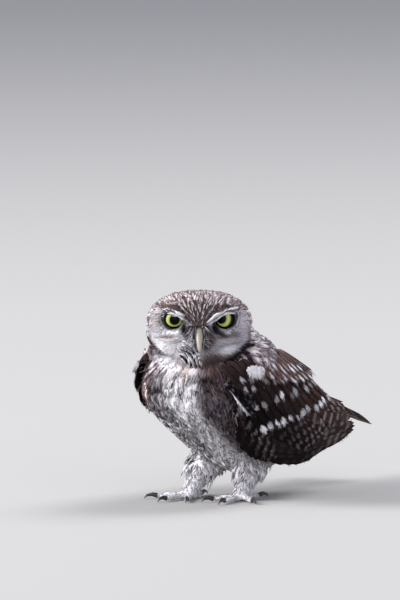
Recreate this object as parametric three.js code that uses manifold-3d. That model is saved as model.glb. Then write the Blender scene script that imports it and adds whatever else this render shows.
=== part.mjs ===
// A little owl at life size, standing, leaning forward, its head turned to its left.
// Millimetres, +Z up. The bird faces -Y, its left side is +X, and its feet stand on Z = 0.
import * as THREE from "three";
import { mergeVertices } from "three/addons/utils/BufferGeometryUtils.js";
import Module from "manifold-3d";

const wasm = await Module();
wasm.setup();

// Driving dimensions
const GAP = 0.3; // between parts that touch
const LEAN = THREE.MathUtils.degToRad(27); // how far the back slopes down to the tail
const HEAD_TURN = THREE.MathUtils.degToRad(33);
const HEAD = { y: -16, z: 102, half: 31, up: 20.2, down: 22.5, front: 25, back: 27 };
const HEAD_SQUARENESS = { above: 2.3, below: 2.4 }; // of its outline from the front: 2 is an ellipse
const EYE = { side: 14.5, up: 4.9, sunk: 0.9, radius: 7.2, opening: 5.3 };
const BILL = { root: 0.7, tip: -12.6, reach: -31.5, width: 5.4 };
const TAIL = { root: 70, tip: 120, rootHeight: 94.5, tipHeight: 101.5, feathers: 12 };
const FOOT = { side: 15, left: 6, right: -2, ankle: 7 };
const CLAW = { sunk: 1.2, reach: 9.6, arch: 1.4, tip: 0.2 };
const VANE = 0.85; // thickness of a feather's vane along its shaft
const EDGE = 0.32; // half of the vane's thickness at its edge, as a share of VANE

// Small helpers

const lerp = THREE.MathUtils.lerp;
const between = (a, b, k) => a.map((v, i) => lerp(v, b[i], k));
const bell = (x) => Math.exp(-x * x);
const signedPower = (v, p) => Math.sign(v) * Math.abs(v) ** p;
const count = (n) => Array.from({ length: n }, (_, i) => i);

// A value that runs smoothly through a few [place, value] knots and never overshoots them.
function through(...knots) {
  const last = knots.length - 1;
  const step = (i) => (knots[i + 1][1] - knots[i][1]) / (knots[i + 1][0] - knots[i][0]);
  const slopes = knots.map((_, i) => {
    if (i === 0) return step(0);
    if (i === last) return step(last - 1);
    const [a, b] = [step(i - 1), step(i)];
    return a * b <= 0 ? 0 : (2 * a * b) / (a + b);
  });
  return (place) => {
    const x = THREE.MathUtils.clamp(place, knots[0][0], knots[last][0]);
    let i = 0;
    while (i < last - 1 && x > knots[i + 1][0]) i += 1;
    const wide = knots[i + 1][0] - knots[i][0];
    const t = (x - knots[i][0]) / wide;
    return (
      knots[i][1] * (1 + 2 * t) * (1 - t) ** 2 +
      knots[i + 1][1] * t * t * (3 - 2 * t) +
      wide * (slopes[i] * t * (1 - t) ** 2 + slopes[i + 1] * t * t * (t - 1))
    );
  };
}

// A closed solid from points and triangles, turned to face out.
function solidFrom(points, triangles) {
  const edge = (i, j) => new THREE.Vector3().subVectors(points[j], points[i]);
  const volume = triangles.reduce(
    (sum, [a, b, c]) => sum + points[a].dot(edge(a, b).cross(edge(a, c))),
    0,
  );
  const order = volume < 0 ? triangles.map(([a, b, c]) => [a, c, b]) : triangles;
  return new wasm.Manifold(
    new wasm.Mesh({
      numProp: 3,
      vertProperties: new Float32Array(points.flatMap((p) => p.toArray())),
      triVerts: new Uint32Array(order.flat()),
    }),
  );
}

function solidOf(geometry) {
  const bare = geometry.clone();
  bare.deleteAttribute("normal");
  bare.deleteAttribute("uv");
  const merged = mergeVertices(bare, 1e-4);
  const place = merged.getAttribute("position");
  const points = count(place.count).map((i) => new THREE.Vector3().fromBufferAttribute(place, i));
  const index = Array.from(merged.index.array);
  return solidFrom(points, count(index.length / 3).map((i) => index.slice(3 * i, 3 * i + 3)));
}

// Rings of equal length joined into a tube, closed at each end round its centre.
function tube(rings) {
  const n = rings[0].length;
  const points = rings.flat();
  const triangles = [];
  for (const j of count(rings.length - 1))
    for (const i of count(n)) {
      const [a, b] = [j * n + i, j * n + ((i + 1) % n)];
      triangles.push([a, b, b + n], [a, b + n, a + n]);
    }
  for (const [ring, start, flip] of [
    [rings[0], 0, true],
    [rings.at(-1), (rings.length - 1) * n, false],
  ]) {
    const centre = points.length;
    points.push(ring.reduce((sum, p) => sum.add(p), new THREE.Vector3()).divideScalar(n));
    for (const i of count(n)) {
      const [a, b] = [start + i, start + ((i + 1) % n)];
      triangles.push(flip ? [b, a, centre] : [a, b, centre]);
    }
  }
  return solidFrom(points, triangles);
}

// A round or oval tube along a path, each place { at, wide, deep }, with deep along up.
function limb(path, sides, up) {
  const rings = path.map((p, j) => {
    const ahead = path[Math.min(j + 1, path.length - 1)].at;
    const behind = path[Math.max(j - 1, 0)].at;
    const along = new THREE.Vector3().subVectors(ahead, behind).normalize();
    const across = new THREE.Vector3().crossVectors(along, up).normalize();
    const rise = new THREE.Vector3().crossVectors(across, along);
    return count(sides).map((i) => {
      const turn = (2 * Math.PI * (i + 0.5)) / sides;
      return p.at
        .clone()
        .addScaledVector(across, p.wide * Math.cos(turn))
        .addScaledVector(rise, p.deep * Math.sin(turn));
    });
  });
  return tube(rings);
}

const joined = (solids) => solids.reduce((all, s) => all.add(s));
const largest = (solid) =>
  solid.decompose().reduce((best, s) => (s.volume() > best.volume() ? s : best));

// The same solid on the other side of the body.
function mirrored(solid) {
  const { vertProperties, triVerts, numProp, numVert } = solid.getMesh();
  const points = count(numVert).map((i) => {
    const [x, y, z] = vertProperties.subarray(i * numProp, i * numProp + 3);
    return new THREE.Vector3(-x, y, z);
  });
  return solidFrom(
    points,
    count(triVerts.length / 3).map((i) => Array.from(triVerts.subarray(3 * i, 3 * i + 3))),
  );
}

const owl = new THREE.Group();

function part(name, solid, material) {
  const mesh = largest(solid).getMesh();
  const geometry = new THREE.BufferGeometry();
  const place = new Float32Array(mesh.numVert * 3);
  for (const i of count(mesh.numVert))
    place.set(mesh.vertProperties.subarray(i * mesh.numProp, i * mesh.numProp + 3), i * 3);
  geometry.setAttribute("position", new THREE.BufferAttribute(place, 3));
  geometry.setIndex(new THREE.BufferAttribute(mesh.triVerts, 1));
  geometry.computeVertexNormals();
  const made = new THREE.Mesh(geometry, material);
  made.name = name;
  owl.add(made);
}

const finish = (color, roughness) =>
  new THREE.MeshStandardMaterial({ color, roughness, metalness: 0 });
const brownPlumage = finish("#5d4a3c", 0.9);
const paleBreast = finish("#b8ab9c", 0.9);
const facePlumage = finish("#9a8c80", 0.9);
const whiteDown = finish("#d9d3c8", 0.9);
const toeSkin = finish("#b9b09c", 0.7);
const hornClaw = finish("#2e2a28", 0.4);
const hornBill = finish("#b7b27e", 0.35);
const yellowEye = finish("#c9d24a", 0.1);

// The body's own frame: s runs down the back to the tail, h across it to the back, x to the left.
const at = (x, s, h) =>
  new THREE.Vector3(
    x,
    s * Math.cos(LEAN) + h * Math.sin(LEAN),
    h * Math.cos(LEAN) - s * Math.sin(LEAN),
  );

// The trunk, as the outline of its sections along s
const trunk = {
  squareness: 2.25,
  half: through(
    [-72, 11], [-66, 22.5], [-60, 29], [-50, 33.5], [-35, 35],
    [-8, 35], [15, 33.5], [40, 28], [60, 21], [70, 16.5],
  ),
  top: through(
    [-72, 62], [-66, 69], [-58, 76], [-45, 86], [-20, 92], [5, 93.5], [40, 94], [70, 95.5],
  ),
  middle: through([-72, 52], [-60, 50], [-30, 52], [0, 56], [30, 68], [60, 84], [70, 90]),
  bottom: through(
    [-72, 44], [-66, 35.5], [-58, 30.5], [-45, 27], [-20, 23.5],
    [0, 21], [20, 27.5], [40, 46], [60, 72], [70, 83],
  ),
};

// The outside of the folded wings, past the trunk's end to the wing tips
const cover = {
  squareness: 2.25,
  half: through(
    [-72, 22], [-66, 27], [-60, 33], [-50, 37.5], [-35, 40.5], [-10, 41.5],
    [15, 41], [40, 37], [65, 31], [90, 24], [120, 17],
  ),
  top: through(
    [-72, 70], [-58, 79], [-45, 87], [-20, 93], [5, 94.5], [40, 94.5], [70, 96], [120, 101],
  ),
  middle: through([-72, 48], [-30, 53], [0, 58], [30, 67], [60, 79], [90, 89], [120, 96]),
  bottom: through([-72, 0], [-20, -8], [20, 0], [60, 40], [120, 75]),
};

function section(form, s, turn, grow = 0) {
  const [c, d] = [Math.cos(turn), Math.sin(turn)];
  const power = 2 / form.squareness;
  const reach = c > 0 ? form.top(s) - form.middle(s) : form.middle(s) - form.bottom(s);
  return {
    x: (form.half(s) + grow) * signedPower(d, power),
    h: form.middle(s) + (reach + grow) * signedPower(c, power),
  };
}

function trunkSolid(grow = 0, sides = 28) {
  const places = [-72, -69.5, -66, -60, -52, -42, -30, -16, -2, 12, 25, 37, 48, 58, 65, TAIL.root];
  const last = places.length - 1;
  return tube(
    places.map((s, j) => {
      const moved = s + (j === 0 ? -grow : 0) + (j === last ? grow : 0);
      return count(sides).map((i) => {
        const { x, h } = section(trunk, s, (2 * Math.PI * i) / sides, grow);
        return at(x, moved, h);
      });
    }),
  );
}

// The fluffed collar that carries the trunk up under the head
function collarSolid(grow = 0) {
  const [y, z] = [-4, 82.5];
  const round = new THREE.IcosahedronGeometry(1, 4);
  round.scale(41 + grow, 36 + grow, 21.5 + grow);
  round.translate(0, y, z);
  return solidOf(round);
}

// The head, in its own frame: it faces -Y before it is turned

const headFrame = new THREE.Matrix4()
  .makeRotationZ(HEAD_TURN)
  .setPosition(0, HEAD.y, HEAD.z);
const inHead = (x, y, z) => new THREE.Vector3(x, y, z).applyMatrix4(headFrame);

const ROUND = 0.8; // how square the head is from front to back: 1 is an ellipse

// How far the head reaches from its middle, upright across the face, in a direction
function faceReach(c, s) {
  const tall = s > 0 ? HEAD.up : HEAD.down;
  const square = s > 0 ? HEAD_SQUARENESS.above : HEAD_SQUARENESS.below;
  return (Math.abs(c / HEAD.half) ** square + Math.abs(s / tall) ** square) ** (-1 / square);
}

// How far the face stands out or falls back at a place seen from the front
function relief(x, z) {
  const side = Math.abs(x);
  const fromEye = Math.hypot(side - EYE.side, z - EYE.up);
  const dish = -3.6 * bell(fromEye / 8.5);
  const saddle = 3.6 * bell(side / 5) * bell((z + 4) / 9);
  const cheek = 1.8 * bell((side - 8) / 5) * bell((z + 11) / 5);
  return dish + saddle + cheek;
}

// The front of the face at x and z in the head's own frame
function faceY(x, z) {
  const away = Math.hypot(x, z);
  const share = Math.min(away / faceReach(x / away, z / away), 0.999) ** (1 / ROUND);
  const cosine = Math.sqrt(1 - share * share);
  return -HEAD.front * cosine ** ROUND - THREE.MathUtils.smoothstep(cosine, 0.05, 0.5) * relief(x, z);
}

function headSolid(grow = 0) {
  const [sides, rings] = [32, 16];
  const made = count(rings).map((j) => {
    const turn = (Math.PI * (j + 0.6)) / (rings + 0.2);
    return count(sides).map((i) => {
      const around = (2 * Math.PI * i) / sides;
      const [c, s] = [Math.cos(around), Math.sin(around)];
      const wide = (faceReach(c, s) + grow) * Math.sin(turn) ** ROUND;
      const deep = turn < Math.PI / 2 ? HEAD.front : HEAD.back;
      const y = -(deep + grow) * signedPower(Math.cos(turn), ROUND);
      const front = THREE.MathUtils.smoothstep(Math.cos(turn), 0.05, 0.5);
      return inHead(wide * c, y - front * relief(wide * c, wide * s), wide * s);
    });
  });
  return tube(made);
}

const EYE_FRONT = faceY(EYE.side, EYE.up) + EYE.sunk;

const eyeBall = (side, grow = 0) => {
  const ball = new THREE.IcosahedronGeometry(EYE.radius + grow, 2);
  ball.translate(side * EYE.side, EYE_FRONT + EYE.radius - 2.4, EYE.up);
  return solidOf(ball.applyMatrix4(headFrame));
};

// The rim of both lids, a soft ring round the opening
function lids(side) {
  const ring = new THREE.TorusGeometry(EYE.opening, 1.15, 5, 15);
  ring.rotateX(Math.PI / 2);
  ring.rotateZ(side * 0.12);
  ring.translate(side * EYE.side, EYE_FRONT, EYE.up);
  return solidOf(ring.applyMatrix4(headFrame));
}

// A ridge along places [x, z, half-width, how far it stands out] on one side of the face
function ridge(side, line, grow) {
  const path = line.map(([x, z, wide, out]) => ({
    at: inHead(side * x, faceY(x, z) - out, z),
    wide: wide + grow,
    deep: wide * 0.8 + grow,
  }));
  return limb(path, 5, new THREE.Vector3(0, 0, 1));
}

// The white brow that runs from the bill over the eye and shades it
const BROW = [
  [2.2, 0.4, 1.4, 0],
  [6.5, 4, 1.9, 1.5],
  [11, 7.3, 2.1, 3.4],
  [16, 9.4, 2.1, 3],
  [21, 9.6, 1.8, 1],
  [25, 8.4, 1, 0],
];

// The rim of the facial disc, from beyond the brow down past the cheek to the chin
const DISC_RIM = [
  [25.6, 6.6, 1, 0],
  [27, 1, 1.5, 0.1],
  [25.6, -5.4, 1.8, 0.2],
  [21.5, -11.4, 1.9, 0.3],
  [15, -16, 1.7, 0.3],
  [8, -18.6, 1, 0],
];

const ridges = (grow = 0) =>
  [1, -1].flatMap((side) => [BROW, DISC_RIM].map((line) => ridge(side, line, grow)));

const BILL_BACK = -21; // where both halves start, in the face

// The bill: a hooked upper half over a short lower half
function billUpper(grow = 0) {
  const places = [0, 0.22, 0.45, 0.68, 0.86, 1];
  const path = places.map((k) => {
    const ahead = Math.sin(k * 1.25) ** 0.8;
    const drop = lerp(BILL.root - 2.2, BILL.tip, k ** 1.5);
    return {
      at: inHead(0, lerp(BILL_BACK, BILL.reach, ahead), drop),
      wide: (BILL.width / 2) * (1 - k) ** 0.6 + 0.35 + grow,
      deep: 3.1 * (1 - k) ** 0.65 + 0.35 + grow,
    };
  });
  return limb(path, 10, new THREE.Vector3(0, 0, 1));
}

function billLower() {
  const path = [0, 0.4, 0.75, 1].map((k) => ({
    at: inHead(0, lerp(BILL_BACK, -27.6, k), lerp(-8.6, -10.6, k)),
    wide: lerp(2, 0.7, k * k),
    deep: lerp(1.7, 0.5, k),
  }));
  return limb(path, 8, new THREE.Vector3(0, 0, 1));
}

const nostril = (side) => {
  const pit = new THREE.IcosahedronGeometry(0.55, 1);
  pit.translate(side * 2, -26.6, -1.2);
  return solidOf(pit.applyMatrix4(headFrame));
};

// The outside of the left wing: a place at s and turn round the body, lifted along the normal
function coverPoint(s, turn, lift = 0) {
  const flat = (ps, pt) => {
    const { x, h } = section(cover, ps, pt);
    return at(x, ps, h);
  };
  const alongS = new THREE.Vector3().subVectors(flat(s + 0.5, turn), flat(s - 0.5, turn));
  const alongTurn = new THREE.Vector3().subVectors(flat(s, turn + 0.02), flat(s, turn - 0.02));
  alongTurn.divideScalar(0.04);
  const normal = new THREE.Vector3().crossVectors(alongS, alongTurn).normalize();
  if (normal.x < 0) normal.negate();
  return { at: flat(s, turn).addScaledVector(normal, lift), normal, alongS, alongTurn };
}

// The turn round the body at which the wing's outside has the height h
function turnAt(s, h) {
  const middle = cover.middle(s);
  const reach = h > middle ? cover.top(s) - middle : middle - cover.bottom(s);
  const share = Math.min(Math.abs(h - middle) / reach, 0.998);
  return Math.acos(Math.sign(h - middle) * share ** (cover.squareness / 2));
}

const TILT = 0.17; // how steeply a wing feather dips under the one above it

// The width of a vane along its length, as shares
const VANE_SHAPE = [[0, 0.5], [0.3, 0.9], [0.62, 1], [0.86, 0.78], [1, 0.3]];
const SHORT_VANE_SHAPE = [[0, 0.6], [0.45, 1], [0.82, 0.8], [1, 0.32]];

// A closed plate from rows of { at, normal }, thickest along a shaft in the middle of three.
// Both faces are split into triangles alike.
function vane(across) {
  const wide = across[0].length;
  const ring = 2 * wide;
  const points = across.flatMap((row) =>
    [1, -1].flatMap((face) =>
      row.map(({ at: place, normal }, k) => {
        const half = wide === 3 && k === 1 ? VANE / 2 : VANE * EDGE;
        return place.clone().addScaledVector(normal, face * half);
      }),
    ),
  );
  const triangles = [];
  const quad = (a, b, c, d) => triangles.push([a, b, c], [a, c, d]);
  for (const j of count(across.length - 1)) {
    const [p, q] = [j * ring, (j + 1) * ring];
    for (const k of count(wide - 1)) {
      const [under, next] = [p + wide + k, q + wide + k];
      quad(p + k, q + k, q + k + 1, p + k + 1);
      triangles.push([under, next + 1, next], [under, under + 1, next + 1]);
    }
    quad(p + wide, q + wide, q, p);
    quad(p + wide - 1, q + wide - 1, q + ring - 1, p + ring - 1);
  }
  const end = (across.length - 1) * ring;
  for (const k of count(wide - 1)) {
    quad(k, k + 1, wide + k + 1, wide + k);
    quad(end + wide + k, end + wide + k + 1, end + k + 1, end + k);
  }
  return solidFrom(points, triangles);
}

// A wing feather that follows the wing's outside from root to tip, both [s, h], with its root
// sunk in the flesh. It is bowed down by bow, and tilted under the next feather above it.
function wingFeather({ root, tip, width, lift, sunk, bow = 0, shape = VANE_SHAPE }) {
  const spine = shape.map(([k]) => {
    const [s, h] = between(root, tip, k);
    return [s, turnAt(s, h - bow * 4 * k * (1 - k))];
  });
  const last = spine.length - 1;
  const rows = spine.map(([s, turn], j) => {
    const [k, share] = shape[j];
    const { normal, alongS, alongTurn } = coverPoint(s, turn);
    const ahead = coverPoint(...spine[Math.min(j + 1, last)]).at;
    const behind = coverPoint(...spine[Math.max(j - 1, 0)]).at;
    const along = new THREE.Vector3().subVectors(ahead, behind);
    const sideways = new THREE.Vector3().crossVectors(normal, along).normalize();
    const stepS = sideways.dot(alongS) / alongS.lengthSq();
    const stepTurn = sideways.dot(alongTurn) / alongTurn.lengthSq();
    return [-1, 1].map((side) => {
      const out = (side * share * width) / 2;
      return coverPoint(s + out * stepS, turn + out * stepTurn, lift - (k ? 0 : sunk) - out * TILT);
    });
  });
  return vane(rows);
}

// Each tier of the wing, from the body outwards. k runs from the lowest feather to the highest,
// and fold from a wing that hangs open, 0, to one held tight to the body, 1.
const tiers = (fold) => [
  {
    feathers: 6,
    width: 10,
    bow: 8 - 5 * fold,
    root: (k) => between([-34 + 11 * fold, 19 + 26 * fold], [-44, 48 + 8 * fold], k),
    tipS: through([0, 72], [0.3, 88], [0.6, 95], [1, 72]),
    tipH: through([0, 65 + 6 * fold], [0.3, 75], [0.6, 84], [1, 86]),
    lift: -3.8,
    sunk: 1.4,
  },
  {
    feathers: 8,
    width: 11,
    bow: 3,
    root: (k) => between([-44 + 8 * fold, 40 + 10 * fold], [0, 78], k),
    tipS: through([0, 32], [0.5, 50], [1, 66]),
    tipH: through([0, 47 + 9 * fold], [0.5, 68], [1, 90]),
    lift: -1.9,
    sunk: 1.8,
  },
  {
    feathers: 8,
    width: 10.5,
    bow: 1,
    shape: SHORT_VANE_SHAPE,
    root: (k) => between([-50, 41 + 7 * fold], [4, 84], k),
    tipS: through([0, -26], [1, 38]),
    tipH: through([0, 33 + 12 * fold], [1, 80]),
    lift: -0.2,
    sunk: 2.6,
  },
  {
    feathers: 7,
    width: 10.5,
    shape: SHORT_VANE_SHAPE,
    root: (k) => between([-61, 52 + 3 * fold], [-9, 86], k),
    tipS: through([0, -40], [1, 18]),
    tipH: through([0, 43 + 8 * fold], [1, 80]),
    lift: 1.4,
    sunk: 2.7,
  },
  {
    feathers: 6,
    width: 13,
    shape: SHORT_VANE_SHAPE,
    root: (k) => between([-47, 72], [-6, 91.5], k),
    tipS: through([0, -28], [0.5, 10], [1, 46]),
    tipH: through([0, 66], [0.5, 77], [1, 92.5]),
    lift: 2,
    sunk: 4.2,
  },
];

// The two short feathers of the thumb, on the leading edge below the wrist
const alula = (fold) =>
  [0, 1].map((i) => ({
    root: [-55 + i, 46 - 6 * i + 5 * fold],
    tip: [-33 - 5 * i, 33 - 7 * i + 11 * fold],
    width: 7.5,
    lift: 0.6 - 1.4 * i,
    sunk: 3,
    shape: SHORT_VANE_SHAPE,
  }));

// The fleshy arm and hand that all of them are rooted in: two lenses under the feathers, each
// thicker towards its leading edge
const FLESH = { leading: 1.4, trailing: -4.2, rim: -6.2, inner: -8 };
const arm = { s: -29, h: 67, along: 45, across: 20, tilt: 0.57 };
const hand = (fold) => ({
  s: -41 + 2 * fold,
  h: 37 + 16 * fold,
  along: 20 - 5 * fold,
  across: 11 - 2 * fold,
  tilt: 2.05,
});

function fleshSolid({ s: midS, h: midH, along, across, tilt }) {
  const sides = 14;
  const rings = [1, 0.75, 0.4];
  const ring = (r, outside) =>
    count(sides).map((i) => {
      const turn = (2 * Math.PI * i) / sides;
      const [a, b] = [along * r * Math.cos(turn), across * r * Math.sin(turn)];
      const s = midS + a * Math.cos(tilt) - b * Math.sin(tilt);
      const h = midH + a * Math.sin(tilt) + b * Math.cos(tilt);
      const outer = lerp(FLESH.trailing, FLESH.leading, (b / across + 1) / 2);
      const lift = lerp(FLESH.rim, outside ? outer : FLESH.inner, Math.sqrt(1 - r ** 4 * 0.98));
      return coverPoint(s, turnAt(s, h), lift).at;
    });
  const inside = [...rings].reverse().map((r) => ring(r, false));
  return tube([...inside, ...rings.map((r) => ring(r, true))]);
}

function wingSolid(fold) {
  const feathers = tiers(fold).flatMap((tier) =>
    count(tier.feathers).map((i) => {
      const k = i / (tier.feathers - 1);
      return wingFeather({ ...tier, root: tier.root(k), tip: [tier.tipS(k), tier.tipH(k)] });
    }),
  );
  const flesh = [arm, hand(fold)].map(fleshSolid);
  return joined([...flesh, ...feathers, ...alula(fold).map(wingFeather)]);
}

const TAIL_LAYER = 1.05; // from one tail feather up to the next that lies over it

// The tail: a short root that carries twelve feathers, the middle pair on top
function tailSolid() {
  const sides = 16;
  const core = [
    [TAIL.root + GAP, 16.2, 96, 84],
    [TAIL.root + 9, 14.5, 97, 89.5],
    [TAIL.root + 20, 12, 97.6, 93.4],
    [TAIL.root + 27, 9, 97.6, 95.6],
  ].map(([s, half, top, bottom]) =>
    count(sides).map((i) => {
      const turn = (2 * Math.PI * i) / sides;
      const middle = (top + bottom) / 2;
      return at(half * Math.sin(turn), s, middle + (top - middle) * Math.cos(turn));
    }),
  );
  // rank runs from -1 on the right to 1 on the left, and layer down from 0 at the top
  const feather = ({ rank, layer, rootS, tipS, spread, width, shape }) => {
    const normal = at(0, 0, 1);
    const rows = shape.map(([k, share]) => {
      const s = lerp(rootS, tipS - 4 * rank * rank, k);
      const rise = (s - TAIL.root) / (TAIL.tip - TAIL.root);
      const h = lerp(TAIL.rootHeight, TAIL.tipHeight, rise) - layer * TAIL_LAYER;
      const x = lerp(spread * 0.5, spread, k) * rank;
      const sides = shape === VANE_SHAPE ? [-1, 0, 1] : [-1, 1];
      return sides.map((side) => {
        const out = x + (side * share * width) / 2;
        return { at: at(out, s, h - 0.006 * out * out), normal };
      });
    });
    return vane(rows);
  };
  const main = count(TAIL.feathers).map((i) => {
    const rank = (2 * i) / (TAIL.feathers - 1) - 1;
    const layer = Math.abs(i - TAIL.feathers / 2 + 0.25);
    return feather({
      rank, layer, rootS: TAIL.root + 4, tipS: TAIL.tip, spread: 13.5, width: 12, shape: VANE_SHAPE,
    });
  });
  const coverts = count(5).map((i) => {
    const away = Math.abs(i - 2);
    return feather({
      rank: i / 2 - 1,
      layer: away * 0.5 - 2 + (i > 2 ? 0.25 : 0),
      rootS: TAIL.root + 3,
      tipS: TAIL.root + 24 - 3 * away,
      spread: 9.5,
      width: 9,
      shape: SHORT_VANE_SHAPE,
    });
  });
  return joined([tube(core), ...main, ...coverts]);
}

const footY = (side) => (side > 0 ? FOOT.left : FOOT.right);

// A leg: the feathered thigh and shank, down to the ankle
function legSolid(side) {
  const foot = footY(side);
  const path = [
    [11, 22, 36, 11, 14],
    [13, 19 + foot * 0.2, 26, 10.5, 13],
    [14, 12.5 + foot * 0.5, 18.5, 8.4, 10],
    [14.6, 6 + foot * 0.8, 12.5, 5.6, 6.4],
    [FOOT.side, foot + 1.4, FOOT.ankle - 1, 4, 4.2],
  ].map(([x, y, z, wide, deep]) => ({ at: new THREE.Vector3(side * x, y, z), wide, deep }));
  return limb(path, 10, new THREE.Vector3(0, 1, 0)).subtract(blockUnder(FOOT.ankle + GAP));
}

// Toes by name: heading from straight ahead towards the outside, length and girth
const toes = {
  inner: { heading: -27, length: 19, girth: 2.5 },
  middle: { heading: 6, length: 22, girth: 2.6 },
  outer: { heading: 50, length: 19, girth: 2.5 },
  hind: { heading: 172, length: 15, girth: 2.4 },
};

// A place ahead of the ankle along a toe's heading
function toePoint(side, heading, ahead, height) {
  const turn = THREE.MathUtils.degToRad(heading);
  return new THREE.Vector3(
    side * (FOOT.side + ahead * Math.sin(turn)),
    footY(side) - ahead * Math.cos(turn),
    height,
  );
}

// A toe with its joints: share of its length, half-width and height of its middle, in girths
const TOE_SHAPE = [
  [0, 1.15, 1.3],
  [0.25, 1.05, 0.86],
  [0.45, 0.86, 0.72],
  [0.65, 0.98, 0.8],
  [0.85, 0.78, 0.65],
  [1, 0.62, 0.54],
];

function toeSolid(side, { heading, length, girth }, grow = 0) {
  const path = TOE_SHAPE.map(([k, wide, height]) => ({
    at: toePoint(side, heading, k * length + (k === 1 ? grow : 0), girth * height),
    wide: girth * wide + grow,
    deep: girth * wide * 0.98 + grow,
  }));
  return limb(path, 6, new THREE.Vector3(0, 0, 1));
}

function footSolid(side) {
  const path = [[0.4, -0.6, 4.2, 4.4], [0.8, 4, 4.3, 4.5], [1.4, FOOT.ankle + 1, 3.8, 4]].map(
    ([back, z, wide, deep]) => ({
      at: new THREE.Vector3(side * FOOT.side, footY(side) + back, z),
      wide,
      deep,
    }),
  );
  const ankle = limb(path, 10, new THREE.Vector3(0, 1, 0)).subtract(blockAbove(FOOT.ankle));
  const whole = joined([ankle, ...Object.values(toes).map((toe) => toeSolid(side, toe))]);
  return whole.subtract(blockUnder(0));
}

const blockAbove = (height) => blockUnder(height + 50);

function blockUnder(height) {
  const block = new THREE.BoxGeometry(400, 400, 50);
  block.translate(0, 0, height - 25);
  return solidOf(block);
}

function clawSolid(side, toe) {
  const { heading, length, girth } = toe;
  const base = girth * 0.6;
  const path = [0, 0.35, 0.7, 1].map((k) => {
    const ahead = length - CLAW.sunk + CLAW.reach * Math.sin(k * 1.35);
    const height = lerp(girth * 0.6, CLAW.tip, k ** 2.2) + CLAW.arch * Math.sin(k * Math.PI);
    const taper = (1 - k) ** 0.8;
    return {
      at: toePoint(side, heading, ahead, height),
      wide: base * taper * 0.8 + CLAW.tip,
      deep: base * taper + CLAW.tip,
    };
  });
  return limb(path, 6, new THREE.Vector3(0, 0, 1))
    .subtract(blockUnder(0))
    .subtract(toeSolid(side, toe, GAP));
}

// Parting the whole: the head, the neck and the trunk are cut a gap apart.

const throat = [-44, 70];
const nape = [24, 90];

// A large block over the slanting plane from throat to nape, moved up by rise
function aboveNeckCut(rise) {
  const block = new THREE.BoxGeometry(200, 260, 120);
  block.translate(0, 0, 60 + rise);
  block.rotateX(Math.atan2(nape[1] - throat[1], nape[0] - throat[0]));
  block.translate(0, (throat[0] + nape[0]) / 2, (throat[1] + nape[1]) / 2);
  return solidOf(block);
}

const headRoom = joined([headSolid(GAP), ...ridges(GAP)]);
const wholeBody = trunkSolid().add(collarSolid());
const bodyRoom = trunkSolid(GAP).add(collarSolid(GAP)).add(headRoom);
const bill = billUpper().subtract(nostril(1)).subtract(nostril(-1));
const head = joined([headSolid(), lids(1), lids(-1), ...ridges()])
  .subtract(eyeBall(1, GAP))
  .subtract(eyeBall(-1, GAP))
  .subtract(billUpper(GAP));

part("head", head.subtract(billLower().add(billUpper(GAP))), facePlumage);
part("bill_upper", bill, hornBill);
part("bill_lower", billLower().subtract(billUpper(GAP)), hornBill);
part("eye_left", eyeBall(1), yellowEye);
part("eye_right", eyeBall(-1), yellowEye);
part("neck", wholeBody.intersect(aboveNeckCut(GAP)).subtract(headRoom), facePlumage);
part("torso", wholeBody.subtract(aboveNeckCut(0)).subtract(headRoom), paleBreast);

part("wing_left", wingSolid(0).subtract(bodyRoom), brownPlumage);
part("wing_right", mirrored(wingSolid(1)).subtract(bodyRoom), brownPlumage);
part("tail", tailSolid().subtract(bodyRoom), brownPlumage);

for (const [side, name] of [[1, "left"], [-1, "right"]]) {
  part(`leg_${name}`, legSolid(side).subtract(bodyRoom), whiteDown);
  part(`foot_${name}`, footSolid(side), toeSkin);
  for (const [toe, sizes] of Object.entries(toes))
    part(`claw_${name}_${toe}`, clawSolid(side, sizes), hornClaw);
}

// The origin: on the floor, below the middle of the whole bird.
const box = new THREE.Box3().setFromObject(owl);
const middle = box.getCenter(new THREE.Vector3());
owl.position.set(-middle.x, -middle.y, -box.min.z);

export default owl;
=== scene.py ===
# %% [markdown]
# # A little owl, feather by feather
# The owl stands on the floor, leans forward and looks over its left side. Its bones of construction,
# the solids, are loaded first as a fixed frame. All that is made here is laid round them.

# %% The frame
import math
import bpy
import numpy as np
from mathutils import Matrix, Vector
from mathutils.bvhtree import BVHTree


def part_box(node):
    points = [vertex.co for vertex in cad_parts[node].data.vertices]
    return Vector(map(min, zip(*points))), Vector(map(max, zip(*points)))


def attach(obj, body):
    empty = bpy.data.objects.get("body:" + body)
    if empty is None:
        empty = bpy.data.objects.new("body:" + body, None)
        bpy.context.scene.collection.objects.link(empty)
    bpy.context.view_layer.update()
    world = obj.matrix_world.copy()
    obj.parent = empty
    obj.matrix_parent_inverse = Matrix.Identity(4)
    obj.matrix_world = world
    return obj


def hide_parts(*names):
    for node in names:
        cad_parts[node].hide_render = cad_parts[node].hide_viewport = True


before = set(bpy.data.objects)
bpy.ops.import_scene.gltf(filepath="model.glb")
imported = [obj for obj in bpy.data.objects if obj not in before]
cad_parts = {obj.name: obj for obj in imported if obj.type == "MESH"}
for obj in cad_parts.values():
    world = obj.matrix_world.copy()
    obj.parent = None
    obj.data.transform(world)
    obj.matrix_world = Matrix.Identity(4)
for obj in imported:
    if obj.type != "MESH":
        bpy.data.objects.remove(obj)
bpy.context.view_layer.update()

# %% [markdown]
# ## The camera
# A bird is photographed from far off with a long lens, so the lines of sight run almost side by side.
# The camera stands 33 degrees round to the owl's left and 5 degrees above it, and its field is
# 345 mm tall.

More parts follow.
